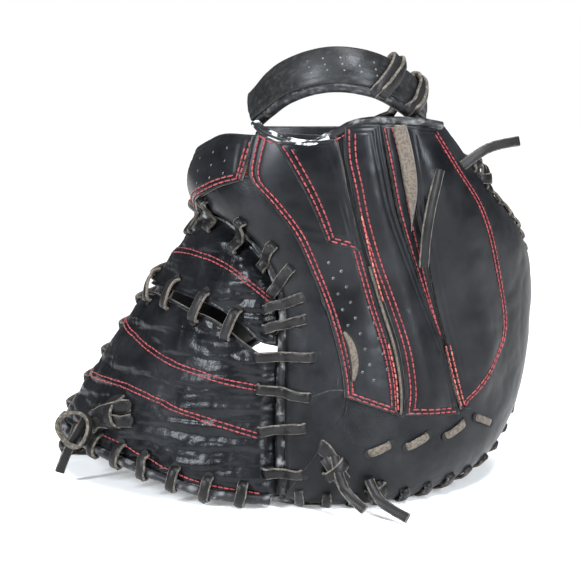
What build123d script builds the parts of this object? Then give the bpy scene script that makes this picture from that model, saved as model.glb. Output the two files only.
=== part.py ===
"""A left-hand catcher's mitt in black leather, standing on its finger tips with the wrist opening up.

The leathers are laid out on a flat pattern and then rolled round the pocket. A pattern point (u, v) is u mm
across the mitt and v mm above the floor. u is 0 on the ridge that faces the front, positive over the fingers and
negative over the web and the thumb. A third number h is the height off the palm sheet: positive towards the back
of the hand, negative into the pocket. Rolled up, -Y is the front, +X the little finger's side and +Z the wrist.
"""

import os
from math import cos, exp, hypot, pi, radians, sin, sqrt

from build123d import *

os.makedirs("parts", exist_ok=True)

# ---- Driving dimensions, in mm -------------------------------------------------------------------------------
FINGER_RADIUS, FINGER_TAPER = 140, 0.10  # the roll over the fingers, and how it tightens per mm of height
WEB_RADIUS, WEB_TAPER = 184, 0.62  # the roll over the web
RIDGE_X, RIDGE_SHIFT, RIDGE_LEAN = 2, 0.12, 0.12  # the ridge's place on the floor, and its slope to the wrist
FRONT_TURN = radians(62)  # how far the web turns back before the thumb's fold
FOLD_RADIUS, FOLD_TURN = 20, radians(80)  # the fold that the thumb closes on
THUMB_RADIUS = 120
FINGER_HEIGHT, WRIST_HEIGHT = 26, 38  # back of the hand over the palm sheet
THUMB_THINNER = 14
EDGE_ROUND, ROLL_ROUND = 42, 26  # how far in from an edge the back reaches its full height
POCKET_PAD = 5  # padding behind the pocket
RIM_PAD, RIM_PAD_WIDTH = 17, 26  # what the rim adds to it, and how far in it peaks
LEATHER = 2.2
PANEL = 1.8
SKIM = 0.1  # clearance between one layer and the next
EASE = 0.6  # clearance between layers whose shapes are lofted through different rows
LACE_WIDTH, LACE_THICK = 6.0, 2.0
RING = 12  # outer radius of the loop of lace that hangs on the web
PITCH_RIM = 15.5
WEB_HEIGHT = 12  # outer face of the web over the palm sheet
ROPE, ROPE_HEIGHT = 4.2, 6.9  # the roll round the web's opening
ORIGIN = Vector(-0.3, 66.2, 1.2)  # the middle of the finished mitt's footprint, on the rolled-up pattern

# ---- Pattern outlines: the laced edges and the roll round the web's opening ----------------------------------
FINGER_EDGE = Spline(
    (60, 232), (99, 194), (139, 169), (165, 150), (178, 128), (181, 100), (177, 72), (163, 42), (142, 22),
    (120, 11), (83, 4), (41, 0.8), (3, 4), (-18, 7),
)
WEB_ROLL = Spline(
    (-6, 10), (-11, 43), (-15, 90), (-19, 126), (-34, 155), (-50, 167), (-66, 174), (-83, 174), (-99, 167),
    (-114, 155), (-144, 118), (-176, 70), (-198, 36),
)
THUMB_EDGE = Spline(
    (-199, 28), (-215, 10), (-236, 0.8), (-253, 12), (-262, 45), (-257, 80), (-241, 115), (-220, 148),
    (-195, 175), (-165, 195), (-140, 205),
)
HEEL_EDGE = Spline((-140, 205), (-110, 210), (-60, 207), (-20, 204), (10, 206), (40, 216), (60, 232))


def points_of(curve, count=48):
    return [(p.X, p.Y) for p in (curve @ (i / count) for i in range(count + 1))]


EDGE_POINTS = {
    "laced": [points_of(FINGER_EDGE), points_of(THUMB_EDGE)],
    "roll": [points_of(WEB_ROLL)],
    "palm": [points_of(FINGER_EDGE), points_of(THUMB_EDGE), points_of(HEEL_EDGE)],
}


def distance(u, v, kind):
    """How far pattern point (u, v) is from the nearest edge of that kind."""
    nearest = 1e9
    for points in EDGE_POINTS[kind]:
        for (u0, v0), (u1, v1) in zip(points, points[1:]):
            du, dv = u1 - u0, v1 - v0
            share = min(1, max(0, ((u - u0) * du + (v - v0) * dv) / (du * du + dv * dv)))
            nearest = min(nearest, hypot(u - u0 - share * du, v - v0 - share * dv))
    return nearest


def smooth(t):
    t = min(1, max(0, t))
    return t * t * (3 - 2 * t)


def rounded(distance_in, reach):
    """A quarter circle's rise from 0 at an edge to 1 at reach."""
    t = min(1, distance_in / reach)
    return sqrt(1 - (1 - t) ** 2)


def fold_middle(v):
    """u on the line that the thumb folds about."""
    return -(WEB_RADIUS - WEB_TAPER * v) * FRONT_TURN - FOLD_RADIUS * FOLD_TURN / 2


def place(u, v, h=0.0):
    """The rolled-up place of pattern point (u, v), h mm off the palm sheet."""
    arcs = [(FINGER_RADIUS - FINGER_TAPER * v, u)]
    if u < 0:
        web = WEB_RADIUS - WEB_TAPER * v
        front = min(-u, web * FRONT_TURN)
        fold = min(-u - front, FOLD_RADIUS * FOLD_TURN)
        arcs = [(web, -front), (FOLD_RADIUS, -fold), (THUMB_RADIUS, u + front + fold)]
    x, y, heading = RIDGE_X + RIDGE_SHIFT * v, RIDGE_LEAN * v, 0.0
    for radius, length in arcs:
        turned = heading + length / radius
        x += radius * (sin(turned) - sin(heading))
        y -= radius * (cos(turned) - cos(heading))
        heading = turned
    return Vector(x + h * sin(heading), y - h * cos(heading), v) - ORIGIN


def back(u, v):
    """The back's height over the palm sheet."""
    full = FINGER_HEIGHT + (WRIST_HEIGHT - FINGER_HEIGHT) * smooth((v - 120) / 110)
    full -= THUMB_THINNER * smooth((-60 - u) / 40) * smooth((v - 110) / 40)
    at_roll = 0.35 + 0.65 * rounded(distance(u, v, "roll"), ROLL_ROUND)
    return full * min(rounded(distance(u, v, "laced"), EDGE_ROUND), at_roll)


def pocket(u, v):
    """The pocket face's height, which is negative: the padding swells behind the rim and thins at the fold."""
    inside = distance(u, v, "palm")
    depth = POCKET_PAD + RIM_PAD * (1 - smooth((inside - RIM_PAD_WIDTH) / 50))
    crease = 1 - 0.7 * exp(-(((u - fold_middle(v)) / 24) ** 2))
    return -max(1.5, depth * rounded(inside, RIM_PAD_WIDTH) * crease)


def off_back(amount):
    return lambda u, v: back(u, v) + amount


def off_pocket(amount):
    return lambda u, v: pocket(u, v) + amount


def flat(height):
    return lambda u, v: height


def under_back(height):
    """That height, or just under the back leather where the mitt is thinner."""
    return lambda u, v: min(height, back(u, v) - LEATHER - EASE - 2 * SKIM)


def closed(wires):
    """A solid through those sections, with both ends closed."""
    skin = Solid.make_loft(wires)
    if len(skin.faces()) == len(wires[0].edges()) + 2:
        return skin
    sides = [face for face in skin.faces() if face.geom_type != GeomType.PLANE]
    return Solid(Shell([*sides, *(Face.make_surface(wire) for wire in (wires[0], wires[-1]))]))


def layer(rows, inner, outer, points=6):
    """A leather between two heights. Each row (u0, v0, u1, v1) is a straight run of the pattern."""
    wires = []
    for u0, v0, u1, v1 in rows:
        shares = [k / (points - 1) for k in range(points)]
        run = [(u0 + (u1 - u0) * share, v0 + (v1 - v0) * share) for share in shares]
        top = [place(u, v, outer(u, v)) for u, v in run]
        low = [place(u, v, inner(u, v)) for u, v in reversed(run)]
        with BuildLine() as section:
            Spline(*top)
            Line(top[-1], low[0])
            Spline(*low)
            Line(low[-1], top[0])
        wires.append(section.wires()[0])
    return closed(wires)


def band(stations, width, thick=LACE_THICK):
    """A flat strap or lace: each station (u, v, h) is the middle of its underside."""
    wires = []
    for i, (u, v, h) in enumerate(stations):
        (u0, v0, _), (u1, v1, _) = stations[max(i - 1, 0)], stations[min(i + 1, len(stations) - 1)]
        length = hypot(u1 - u0, v1 - v0)
        du, dv = (v1 - v0) / length * width / 2, -(u1 - u0) / length * width / 2
        with BuildLine() as section:
            Polyline(place(u - du, v - dv, h), place(u + du, v + dv, h), place(u + du, v + dv, h + thick),
                     place(u - du, v - dv, h + thick), place(u - du, v - dv, h))
        wires.append(section.wires()[0])
    return closed(wires)


def trimmed(rows, near=0.0, far=0.0):
    """The same rows, shortened by near mm at their first ends and far mm at their second."""
    cut = []
    for u0, v0, u1, v1 in rows:
        length = hypot(u1 - u0, v1 - v0)
        du, dv = (u1 - u0) / length, (v1 - v0) / length
        cut.append((u0 + du * near, v0 + dv * near, u1 - du * far, v1 - dv * far))
    return cut


def frame_at(u, v, h, along):
    """A plane at a pattern point: its z runs along the pattern direction, and its y points off the leather."""
    step = 0.5
    here = place(u, v, h)
    ahead = place(u + along[0] * step, v + along[1] * step, h)
    off = place(u, v, h + 1) - here
    forward = (ahead - here).normalized()
    across = off.cross(forward).normalized()
    return Plane(origin=here, x_dir=across, z_dir=forward)


def stops(curve, pitch, first=0.5, last=0.5):
    """Points and directions every pitch mm along a pattern curve, first and last mm in from its ends."""
    count = int((curve.length - first - last) / pitch) + 1
    shares = [(first + pitch * i) / curve.length for i in range(count)]
    return [(curve @ s, curve % s) for s in shares]


def edge_welt(curve, count, first, last, low=-5.5, high=5.0, proud=0.3, deep=1.1):
    """The strip that closes a laced edge between its two leathers."""
    wires = []
    for i in range(count):
        share = first + (last - first) * i / (count - 1)
        at, along = curve @ share, curve % share
        corners = [(-proud, low), (-proud, high), (deep, high), (deep, low), (-proud, low)]
        with BuildLine() as section:
            Polyline(*(place(at.X + along.Y * d, at.Y - along.X * d, h) for d, h in corners))
        wires.append(section.wires()[0])
    return closed(wires)


def tube(curve, height, radius, stations=9):
    """A round rope of leather along a pattern curve, with its middle at that height."""
    rings = []
    for i in range(stations):
        at, along = curve @ (i / (stations - 1)), curve % (i / (stations - 1))
        with BuildSketch(frame_at(at.X, at.Y, height, (along.X, along.Y)), mode=Mode.PRIVATE) as ring:
            Circle(radius)
        rings.append(ring.sketch.wires()[0])
    return closed(rings)


def lace_turn(u, v, h, along, inner_radius, width=LACE_WIDTH):
    """One closed turn of lace round a rope."""
    with BuildPart(mode=Mode.PRIVATE) as turn:
        with BuildSketch(frame_at(u, v, h, along)):
            Circle(inner_radius + LACE_THICK)
            Circle(inner_radius, mode=Mode.SUBTRACT)
        extrude(amount=width / 2, both=True)
    return turn.part.solid()


def rim_turn(at, along):
    """One turn of the lace that whips the rim: over the edge, from the back of the hand to the pocket."""
    def ring(lift, shallow):
        over = []
        for face, side, depths in ((back, 1, (9, 6, 3.5, 1.8)), (pocket, -1, (1.8, 3.5, 6, 9))):
            for deep in depths:
                u, v = at.X + along.Y * deep, at.Y - along.X * deep
                out_u, out_v = at.X + along.Y * (deep - shallow), at.Y - along.X * (deep - shallow)
                over.append((out_u, out_v, face(u, v) + side * lift))
        return over

    outline = ring(SKIM, 0) + ring(SKIM + LACE_THICK, LACE_THICK * 0.7)[::-1]
    wires = []
    for offset in (-LACE_WIDTH / 2, LACE_WIDTH / 2):
        with BuildLine() as section:
            Polyline(*(place(u + along.X * offset, v + along.Y * offset, h)
                       for u, v, h in outline + outline[:1]))
        wires.append(section.wires()[0])
    return closed(wires)


def finish(part, label):
    """Cut the part off at the floor, name it and write it."""
    with part:
        split(bisect_by=Plane.XY, keep=Keep.TOP)
    part.part.label = label
    export_step(part.part, f"parts/{label}.step")
    print(f"{label:28s} {len(part.solids()):3d} solids {part.part.volume / 1000:8.2f} cm3")


PAD_TOP, LINING_TOP = 4.0, 6.6  # heights of the palm padding and of the lining over it

# ---- Rows that the leathers share ----------------------------------------------------------------------------
RIM_ROWS = [  # from the finger panels out to the laced edge, from the web round to the little finger
    (13, 62, -5, 12), (24, 56, 12, 2.6), (45, 48, 44, 2.4), (68, 46, 85, 5), (90, 50, 121, 12.4),
    (106, 62, 148, 28),
    (114, 78, 167, 52), (114, 98, 177, 78), (110, 118, 179, 102), (101, 140, 173, 134), (89, 164, 151, 160),
    (78, 184, 118, 181), (64, 204, 90, 201), (50, 222, 68, 222),
]
CROTCH_ROWS = [  # from the roll round the web's opening up to the finger panels
    (-4, 20, 11, 64), (-8, 44, 12, 80), (-11, 70, 10, 98), (-12, 92, 4, 118), (-15, 116, -4, 140),
    (-21, 136, -12, 163), (-32, 152, -20, 180), (-48, 164, -38, 191), (-65, 172, -55, 194),
    (-83, 173, -72, 195),
]
LINING_ROWS = [  # under the finger panels
    (14.5, 64, 84, 50), (14, 82, 112, 82), (11, 100, 112, 98), (4.5, 121, 108, 119), (-4, 143, 99, 141),
    (-12, 166, 87, 165), (-19, 183, 76, 184), (-19, 204, 62, 204), (-9, 215, 47, 219),
]
PALM_ROWS = [  # the pocket face on the finger side
    (-2, 12, 12, 3.6), (-8, 30, 85, 5), (-10, 46, 147, 29), (-12, 68, 172, 62), (-13, 92, 179, 98),
    (-16, 118, 174, 134), (-26, 142, 151, 160), (-36, 154, 128, 175), (-50, 165, 108, 186), (-66, 172, 84, 205),
    (-78, 176, 58, 211), (-80, 187, 47, 211), (-74, 199.5, 30, 206),
]
THUMB_ROWS = [  # from the roll or the fold out to the thumb's laced edge, from its tip up to the heel
    (-204, 28.5, -234, 4.4), (-198, 40, -251, 14.5), (-190, 52, -259, 46), (-180, 70, -254, 80),
    (-165, 93, -247, 97), (-149, 118, -230, 128), (-134, 138, -212, 154), (-119, 158, -186, 178.5),
    (-105, 173, -163, 193), (-97, 184, -141, 202), (-84, 204, -110, 207.5),
]
THUMB_PANEL_ROWS = [  # the panel over the thumb, inside both edges
    (-199, 57, -236, 52), (-190, 74, -233, 80), (-177, 95, -226, 99), (-161, 119, -210, 126),
    (-146, 139, -193, 150), (-131, 158, -171, 171),
]


def edge_rows(curve, count, first, last, outer_deep, inner_deep):
    """Rows across a laced edge, from outer_deep mm in from it to inner_deep mm."""
    rows = []
    for i in range(count):
        share = first + (last - first) * i / (count - 1)
        at, along = curve @ share, curve % share
        u, v = -along.Y, along.X
        rows.append((at.X + u * outer_deep, at.Y + v * outer_deep,
                     at.X + u * inner_deep, at.Y + v * inner_deep))
    return rows


FINGER_RIM_ROWS = edge_rows(FINGER_EDGE, 21, 0.06, 0.94, -5.8, -16)
THUMB_RIM_ROWS = edge_rows(THUMB_EDGE, 15, 0.05, 0.9, -9, -19)

# ---- Back of the hand ----------------------------------------------------------------------------------------
with BuildPart() as rim_back_leather:
    add(layer(RIM_ROWS, off_back(-LEATHER - EASE), off_back(-EASE)))
finish(rim_back_leather, "rim_back_leather")

with BuildPart() as crotch_leather:
    add(layer(CROTCH_ROWS, off_back(-LEATHER - EASE), off_back(-EASE)))
finish(crotch_leather, "crotch_leather")

with BuildPart() as back_lining:
    add(layer(LINING_ROWS, off_back(-LEATHER - EASE), off_back(-EASE), points=9))
finish(back_lining, "back_lining")

with BuildPart() as index_back_panel:
    add(layer([(18, 71, 47, 58), (16, 83, 44, 76), (12, 98, 38, 98), (4, 122, 29, 122), (-6, 146, 20, 148),
               (-15, 168, 13, 171), (-26, 187, 7, 190), (-33, 203, 3, 207), (-25, 217, -1, 217)],
              off_back(3 * SKIM), off_back(PANEL)))
finish(index_back_panel, "index_back_panel")

with BuildPart() as finger_hood:
    add(layer([(0, 162, 14, 157), (-4, 173, 9, 171), (-9, 187, 3.5, 190), (-14, 202, -0.5, 207),
               (-17, 213, -4, 217)], off_back(PANEL + SKIM), off_back(2 * PANEL)))
finish(finger_hood, "finger_hood")

with BuildPart() as middle_back_panel:
    add(layer([(50, 58, 82, 55), (49, 74, 75, 75), (43, 98, 68, 94), (33, 124, 52, 122), (22, 150, 38, 154),
               (13, 175, 28, 180), (7, 200, 20.5, 206), (3, 222, 16, 225)], off_back(2 * SKIM), off_back(PANEL)))
finish(middle_back_panel, "middle_back_panel")

with BuildPart() as ring_back_panel:
    add(layer([(64, 103, 68, 102), (54, 121, 60, 121), (40, 154, 48, 154), (30, 180, 38, 180),
               (22.5, 206, 31, 206),
               (18, 225, 25, 225)], off_back(SKIM), off_back(PANEL)))
finish(ring_back_panel, "ring_back_panel")

with BuildPart() as little_finger_back_panel:
    add(layer([(86, 57, 89, 60), (79, 76, 106, 82), (71, 98, 114, 98), (62, 121, 110, 119), (50, 154, 94, 154),
               (40, 180, 79, 182), (33, 206, 62, 204), (27, 225, 46, 222)],
              off_back(SKIM), off_back(PANEL), points=8))
finish(little_finger_back_panel, "little_finger_back_panel")

with BuildPart() as thumb_crotch_panel:
    add(layer([(-37, 196, -80, 199), (-34, 206, -76, 209), (-30, 219, -68, 218)],
              off_back(-LEATHER - EASE), off_back(-EASE)))
finish(thumb_crotch_panel, "thumb_crotch_panel")

with BuildPart() as finger_stall_walls:
    for walls in (
        [(48, 66), (40, 98), (30, 124), (19, 150), (10, 175)],
        [(82, 70), (71, 98), (58, 121), (44, 154), (33, 180)],
    ):
        add(layer([(u - 0.8, v, u + 0.8, v) for u, v in walls], flat(LINING_TOP + SKIM),
                  off_back(-LEATHER - 2 * EASE), points=3))
finish(finger_stall_walls, "finger_stall_walls")

with BuildPart() as finger_welts:
    for welt in (
        [(48.5, 60), (46.5, 75), (40.5, 98), (31, 123), (21, 149), (13, 173), (6.5, 195), (2.2, 214)],
        [(84, 58), (77, 75), (69.5, 97)],
    ):
        add(band([(u, v, back(u, v) + PANEL + 2 * SKIM) for u, v in welt], 3, 1.4))
finish(finger_welts, "finger_welts")

with BuildPart() as finger_slit_binding:
    add(band([(u, v, back(u, v) + PANEL + SKIM) for u, v in ((14, 109), (19, 96), (21, 81))], 4, 1.0))
finish(finger_slit_binding, "finger_slit_binding")

with BuildPart() as back_tab:
    tab = ((26, 224), (32, 204), (37, 183), (41, 170))
    add(band([(u, v, back(u, v) + PANEL + EASE) for u, v in tab], 5, 1.2))
finish(back_tab, "back_tab")

with BuildPart() as wrist_binding:
    wrist_edge = Spline((-28, 231), (-25, 226), (-18, 221.5), (-9, 219.5), (-3, 224), (4, 230), (14, 232.5),
                        (33, 232))
    add(tube(wrist_edge, WRIST_HEIGHT, 2.2, stations=13))
finish(wrist_binding, "wrist_binding")

# ---- Pocket and heel -----------------------------------------------------------------------------------------
with BuildPart() as palm_leather_finger_side:
    add(layer(PALM_ROWS, off_pocket(0), off_pocket(LEATHER), points=9))
finish(palm_leather_finger_side, "palm_leather_finger_side")

with BuildPart() as palm_pad_finger_side:
    add(layer(trimmed(PALM_ROWS, near=7, far=2.4), off_pocket(LEATHER + 2 * EASE), under_back(PAD_TOP),
              points=9))
finish(palm_pad_finger_side, "palm_pad_finger_side")

with BuildPart() as palm_lining:
    add(layer(trimmed(PALM_ROWS[2:], near=9, far=13), flat(PAD_TOP + 1.5 * EASE), flat(LINING_TOP), points=8))
finish(palm_lining, "palm_lining")

with BuildPart() as finger_rim_roll:
    add(layer(FINGER_RIM_ROWS, flat(LINING_TOP + EASE), off_back(-LEATHER - 4 * EASE), points=6))
finish(finger_rim_roll, "finger_rim_roll")

with BuildPart() as finger_rim_welt:
    add(edge_welt(FINGER_EDGE, 25, 0.03, 0.985))
finish(finger_rim_welt, "finger_rim_welt")

with BuildPart() as heel_binding:
    add(tube(Spline((-70, 206.5), (-45, 208.5), (-20, 208.5), (5, 210.5), (28, 214)), 1.5, 2.6))
finish(heel_binding, "heel_binding")

with BuildPart() as little_finger_loop:
    stations = [(56 + 22 * t, 176, LINING_TOP + SKIM + 11 * sin(pi * t)) for t in (0, 0.2, 0.4, 0.6, 0.8, 1)]
    add(band(stations, 10, 1.6))
finish(little_finger_loop, "little_finger_loop")

# ---- Web -----------------------------------------------------------------------------------------------------
with BuildPart() as web_upper_panel:
    add(layer([(-122, 124, -108, 146), (-98, 125, -94, 155), (-82, 123.5, -80, 161), (-66, 120, -66, 162),
               (-54, 116, -52, 155), (-42, 110, -40, 143), (-26, 101, -23, 124)],
              flat(WEB_HEIGHT - LEATHER), flat(WEB_HEIGHT)))
finish(web_upper_panel, "web_upper_panel")

with BuildPart() as web_lower_panel:
    add(layer([(-163, 32, -164, 52), (-152, 29, -152, 84), (-140, 27.5, -136, 106), (-125, 25.5, -122, 119),
               (-104, 22.5, -98, 120), (-80, 17.5, -76, 115), (-56, 12.5, -56, 109.5), (-38, 10.5, -38, 97.5),
               (-17, 9.5, -24, 93)], flat(WEB_HEIGHT - LEATHER), flat(WEB_HEIGHT), points=5))
finish(web_lower_panel, "web_lower_panel")

WEB_TIP = Spline((-17, 6.9), (-38, 7.9), (-56, 9.9), (-80, 14.9), (-104, 19.9), (-125, 22.9), (-162, 29.2))
with BuildPart() as web_tip_binding:
    add(tube(WEB_TIP, WEB_HEIGHT - LEATHER / 2, 2.2))
finish(web_tip_binding, "web_tip_binding")

FINGER_ROPE = Spline(
    (-6, 10), (-11, 43), (-15, 90), (-19, 126), (-34, 155), (-50, 167), (-66, 174), (-83, 174), (-92, 171),
)
with BuildPart() as web_edge_roll:
    add(tube(FINGER_ROPE, ROPE_HEIGHT, ROPE, stations=17))
finish(web_edge_roll, "web_edge_roll")

with BuildPart() as web_finger_lace:
    for at, along in stops(FINGER_ROPE, 26, first=26, last=120):
        add(lace_turn(at.X, at.Y, ROPE_HEIGHT, (along.X, along.Y), ROPE + SKIM))
finish(web_finger_lace, "web_finger_lace")

with BuildPart() as web_crotch_lace:
    for at, along in stops(FINGER_ROPE, 19, first=150, last=12):
        add(lace_turn(at.X, at.Y, ROPE_HEIGHT, (along.X, along.Y), ROPE + SKIM))
finish(web_crotch_lace, "web_crotch_lace")

with BuildPart() as web_bridge_lace:
    for u, v, lean in ((-112, 119, 2), (-92, 116, 4), (-70, 112, 6), (-48, 103, 7)):
        add(band([(u, v, WEB_HEIGHT + SKIM), (u + lean / 2, v + 7, WEB_HEIGHT + 1),
                  (u + lean, v + 14, WEB_HEIGHT + SKIM)], LACE_WIDTH))
finish(web_bridge_lace, "web_bridge_lace")

with BuildPart() as web_tip_lace:
    for at, along in stops(WEB_TIP, 30, first=18, last=14):
        add(lace_turn(at.X, at.Y, WEB_HEIGHT - LEATHER / 2, (along.X, along.Y), 2.2 + SKIM))
finish(web_tip_lace, "web_tip_lace")

with BuildPart() as web_ring_loop:
    ring_middle = place(-133, 38, WEB_HEIGHT + 5) + Vector(-RING, -2, 0)
    with BuildSketch(Plane(origin=ring_middle, z_dir=(-0.35, -0.93, 0.1))):
        Circle(RING)
        Circle(RING - LACE_THICK, mode=Mode.SUBTRACT)
    extrude(amount=LACE_WIDTH / 2, both=True)
finish(web_ring_loop, "web_ring_loop")

with BuildPart() as web_ring_knot:
    add(band([(-133, 49, WEB_HEIGHT + SKIM), (-121, 51, WEB_HEIGHT + 1.5), (-108, 54, WEB_HEIGHT + SKIM)], 9, 3))
finish(web_ring_knot, "web_ring_knot")

# ---- Lacing of the finger side -------------------------------------------------------------------------------
with BuildPart() as finger_rim_lace:
    for at, along in stops(FINGER_EDGE, PITCH_RIM, first=34, last=12):
        add(rim_turn(at, along))
finish(finger_rim_lace, "finger_rim_lace")

with BuildPart() as tie_down_lace:
    for start, end in (((35, 38), (44, 42)), ((55, 40), (66, 44)), ((78, 43), (88, 49)), ((96, 50), (111, 44))):
        middle = ((start[0] + end[0]) / 2, (start[1] + end[1]) / 2)
        route = ((start, 0), (middle, 0.4), (end, 0))
        add(band([(u, v, back(u, v) + lift) for (u, v), lift in route], 5, 1.8))
finish(tie_down_lace, "tie_down_lace")

with BuildPart() as tie_down_knot:
    add(band([(u, v, back(u, v) + EASE) for u, v in ((9, 41), (15, 34), (21, 26), (27, 18))], 8, 3.4))
finish(tie_down_knot, "tie_down_knot")

# ---- Thumb ---------------------------------------------------------------------------------------------------
with BuildPart() as palm_leather_thumb_side:
    add(layer(THUMB_ROWS, off_pocket(0), off_pocket(LEATHER), points=9))
finish(palm_leather_thumb_side, "palm_leather_thumb_side")

with BuildPart() as palm_pad_thumb_side:
    add(layer(trimmed(THUMB_ROWS, near=5, far=2), off_pocket(LEATHER + EASE), under_back(PAD_TOP), points=9))
finish(palm_pad_thumb_side, "palm_pad_thumb_side")

with BuildPart() as thumb_rim_roll:
    add(layer(THUMB_RIM_ROWS, flat(PAD_TOP + 1.5 * EASE), off_back(-LEATHER - 5 * EASE), points=5))
finish(thumb_rim_roll, "thumb_rim_roll")

with BuildPart() as thumb_rim_welt:
    add(edge_welt(THUMB_EDGE, 19, 0.03, 0.95))
finish(thumb_rim_welt, "thumb_rim_welt")

with BuildPart() as thumb_back_leather:
    add(layer(THUMB_ROWS, off_back(-LEATHER - EASE), off_back(-EASE), points=11))
finish(thumb_back_leather, "thumb_back_leather")

with BuildPart() as thumb_back_panel:
    add(layer(THUMB_PANEL_ROWS, off_back(EASE), off_back(EASE + PANEL), points=9))
finish(thumb_back_panel, "thumb_back_panel")

THUMB_ROPE = Spline((-120, 148), (-144, 118), (-176, 70), (-198, 37))
with BuildPart() as thumb_edge_roll:
    add(tube(THUMB_ROPE, ROPE_HEIGHT, ROPE))
finish(thumb_edge_roll, "thumb_edge_roll")

with BuildPart() as web_thumb_lace:
    for at, along in stops(THUMB_ROPE, 26, first=38, last=10):
        add(lace_turn(at.X, at.Y, ROPE_HEIGHT, (along.X, along.Y), ROPE + SKIM))
finish(web_thumb_lace, "web_thumb_lace")

with BuildPart() as thumb_rim_lace:
    for at, along in stops(THUMB_EDGE, PITCH_RIM, first=14, last=34):
        add(rim_turn(at, along))
finish(thumb_rim_lace, "thumb_rim_lace")

with BuildPart() as thumb_loop:
    stations = [(-146 - 16 * t, 165, PAD_TOP + EASE + 5 * sin(pi * t)) for t in (0, 0.2, 0.4, 0.6, 0.8, 1)]
    add(band(stations, 9, 1.4))
finish(thumb_loop, "thumb_loop")

# ---- Wrist strap ---------------------------------------------------------------------------------------------
STRAP_MIDDLE = [(-22, 26, 239.5), (-3, 3, 256), (22, -12, 263.5), (48, -10, 260.5), (68, 8, 250), (79, 32, 240)]
STRAP_SPAN = Vector(0, 0.40, 0.92)  # across the strap, from its lower edge to its upper one
STRAP_WIDTH, STRAP_THICK, STRAP_PAD = 23, 2.6, 3.4


def strap_planes():
    """Planes along the strap: x across it, y off its outer face."""
    route = Spline(*(Vector(*p) - ORIGIN for p in STRAP_MIDDLE))
    for i in range(9):
        at, along = route @ (i / 8), route % (i / 8)
        yield Plane(origin=at, x_dir=STRAP_SPAN - along * STRAP_SPAN.dot(along), z_dir=along)


def strap_layer(across, low, high, shift=0.0):
    wires = []
    for plane in strap_planes():
        with BuildSketch(plane, mode=Mode.PRIVATE) as section:
            with Locations((shift, (low + high) / 2)):
                Rectangle(across, high - low)
        wires.append(section.sketch.wires()[0])
    return closed(wires)


with BuildPart() as wrist_strap:
    add(strap_layer(STRAP_WIDTH, 0, STRAP_THICK))
finish(wrist_strap, "wrist_strap")

with BuildPart() as strap_pad:
    add(strap_layer(STRAP_WIDTH - 4, -EASE - STRAP_PAD, -EASE))
finish(strap_pad, "strap_pad")

with BuildPart() as strap_edge_roll:
    add(strap_layer(3.6, -3.2, STRAP_THICK, shift=-STRAP_WIDTH / 2 - 1.9))
finish(strap_edge_roll, "strap_edge_roll")

with BuildPart() as strap_lace:
    for plane in list(strap_planes())[5:8:2]:
        with BuildSketch(plane):
            with Locations((-1, -0.4)):
                Rectangle(STRAP_WIDTH + 10, STRAP_THICK + STRAP_PAD + 5)
                Rectangle(STRAP_WIDTH + 6, STRAP_THICK + STRAP_PAD + 1.6, mode=Mode.SUBTRACT)
        extrude(amount=LACE_WIDTH / 2, both=True)
finish(strap_lace, "strap_lace")


# ---- Free lace tails: routes in mm on the rolled-up pattern, before the origin is taken off ------------------
TAILS = {
    "web_lace_tail": [(-128, 48, 46), (-135, 46, 34), (-142, 46.5, 22), (-147, 49, 8.5)],
    "tie_down_tail": [(26, -21.5, 37), (29, -28.5, 24), (34, -33, 16), (43, -42, 10.5)],
    "finger_tip_tail": [(47, -16, 21), (50, -22, 14), (56, -29, 8.5), (68, -41, 5.3)],
    "little_finger_tail": [(87.5, -3.2, 204), (84, -7, 191), (81, -9, 177), (79, -8.5, 162), (78.5, -6.5, 147)],
    "wrist_lace_tail": [(102.5, 11.5, 205.5), (112, 14, 213), (124, 20, 218), (138, 27, 219.5)],
}


def corner_radii(route):
    """The largest smooth arc at each corner: 0.45 of its shorter run over the tangent of half the turn."""
    radii = []
    for before, here, after in zip(route, route[1:], route[2:]):
        run_in, run_out = here - before, after - here
        turn = radians(run_in.get_angle(run_out))
        radii.append(0.45 * min(run_in.length, run_out.length) * cos(turn / 2) / sin(turn / 2))
    return radii


for label, points in TAILS.items():
    route = [Vector(*point) - ORIGIN for point in points]
    radii = corner_radii(route)
    with BuildPart() as lace_tail:
        with BuildLine() as path:
            FilletPolyline(*route, radius=radii)
        wire = path.wires()[0]
        with BuildSketch(Plane(origin=wire @ 0, x_dir=(wire % 0).cross(Vector(0, -1, 0)), z_dir=wire % 0)):
            Rectangle(LACE_WIDTH, LACE_THICK)
        sweep()
    section_times_length = LACE_WIDTH * LACE_THICK * wire.length
    print(f"{label}: {wire.length:.1f} mm long, radii {[round(r) for r in radii]}, "
          f"volume {lace_tail.part.volume:.0f} of {section_times_length:.0f} mm3")
    finish(lace_tail, label)
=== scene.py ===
"""Looks of a left-hand catcher's mitt in black leather, standing on its finger tips.

The leathers are laid out on a flat pattern and rolled round the pocket, as the CAD frame is. A pattern
point (u, v) is u mm across the mitt, positive over the fingers and negative over the web and the thumb, and
v mm above the floor. A third number h is the height off the palm sheet in mm: positive towards the back of
the hand, negative into the pocket. place() turns pattern points into metres. -Y is the front, +X the little
finger and +Z the wrist.
"""

from math import pi, radians

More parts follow.
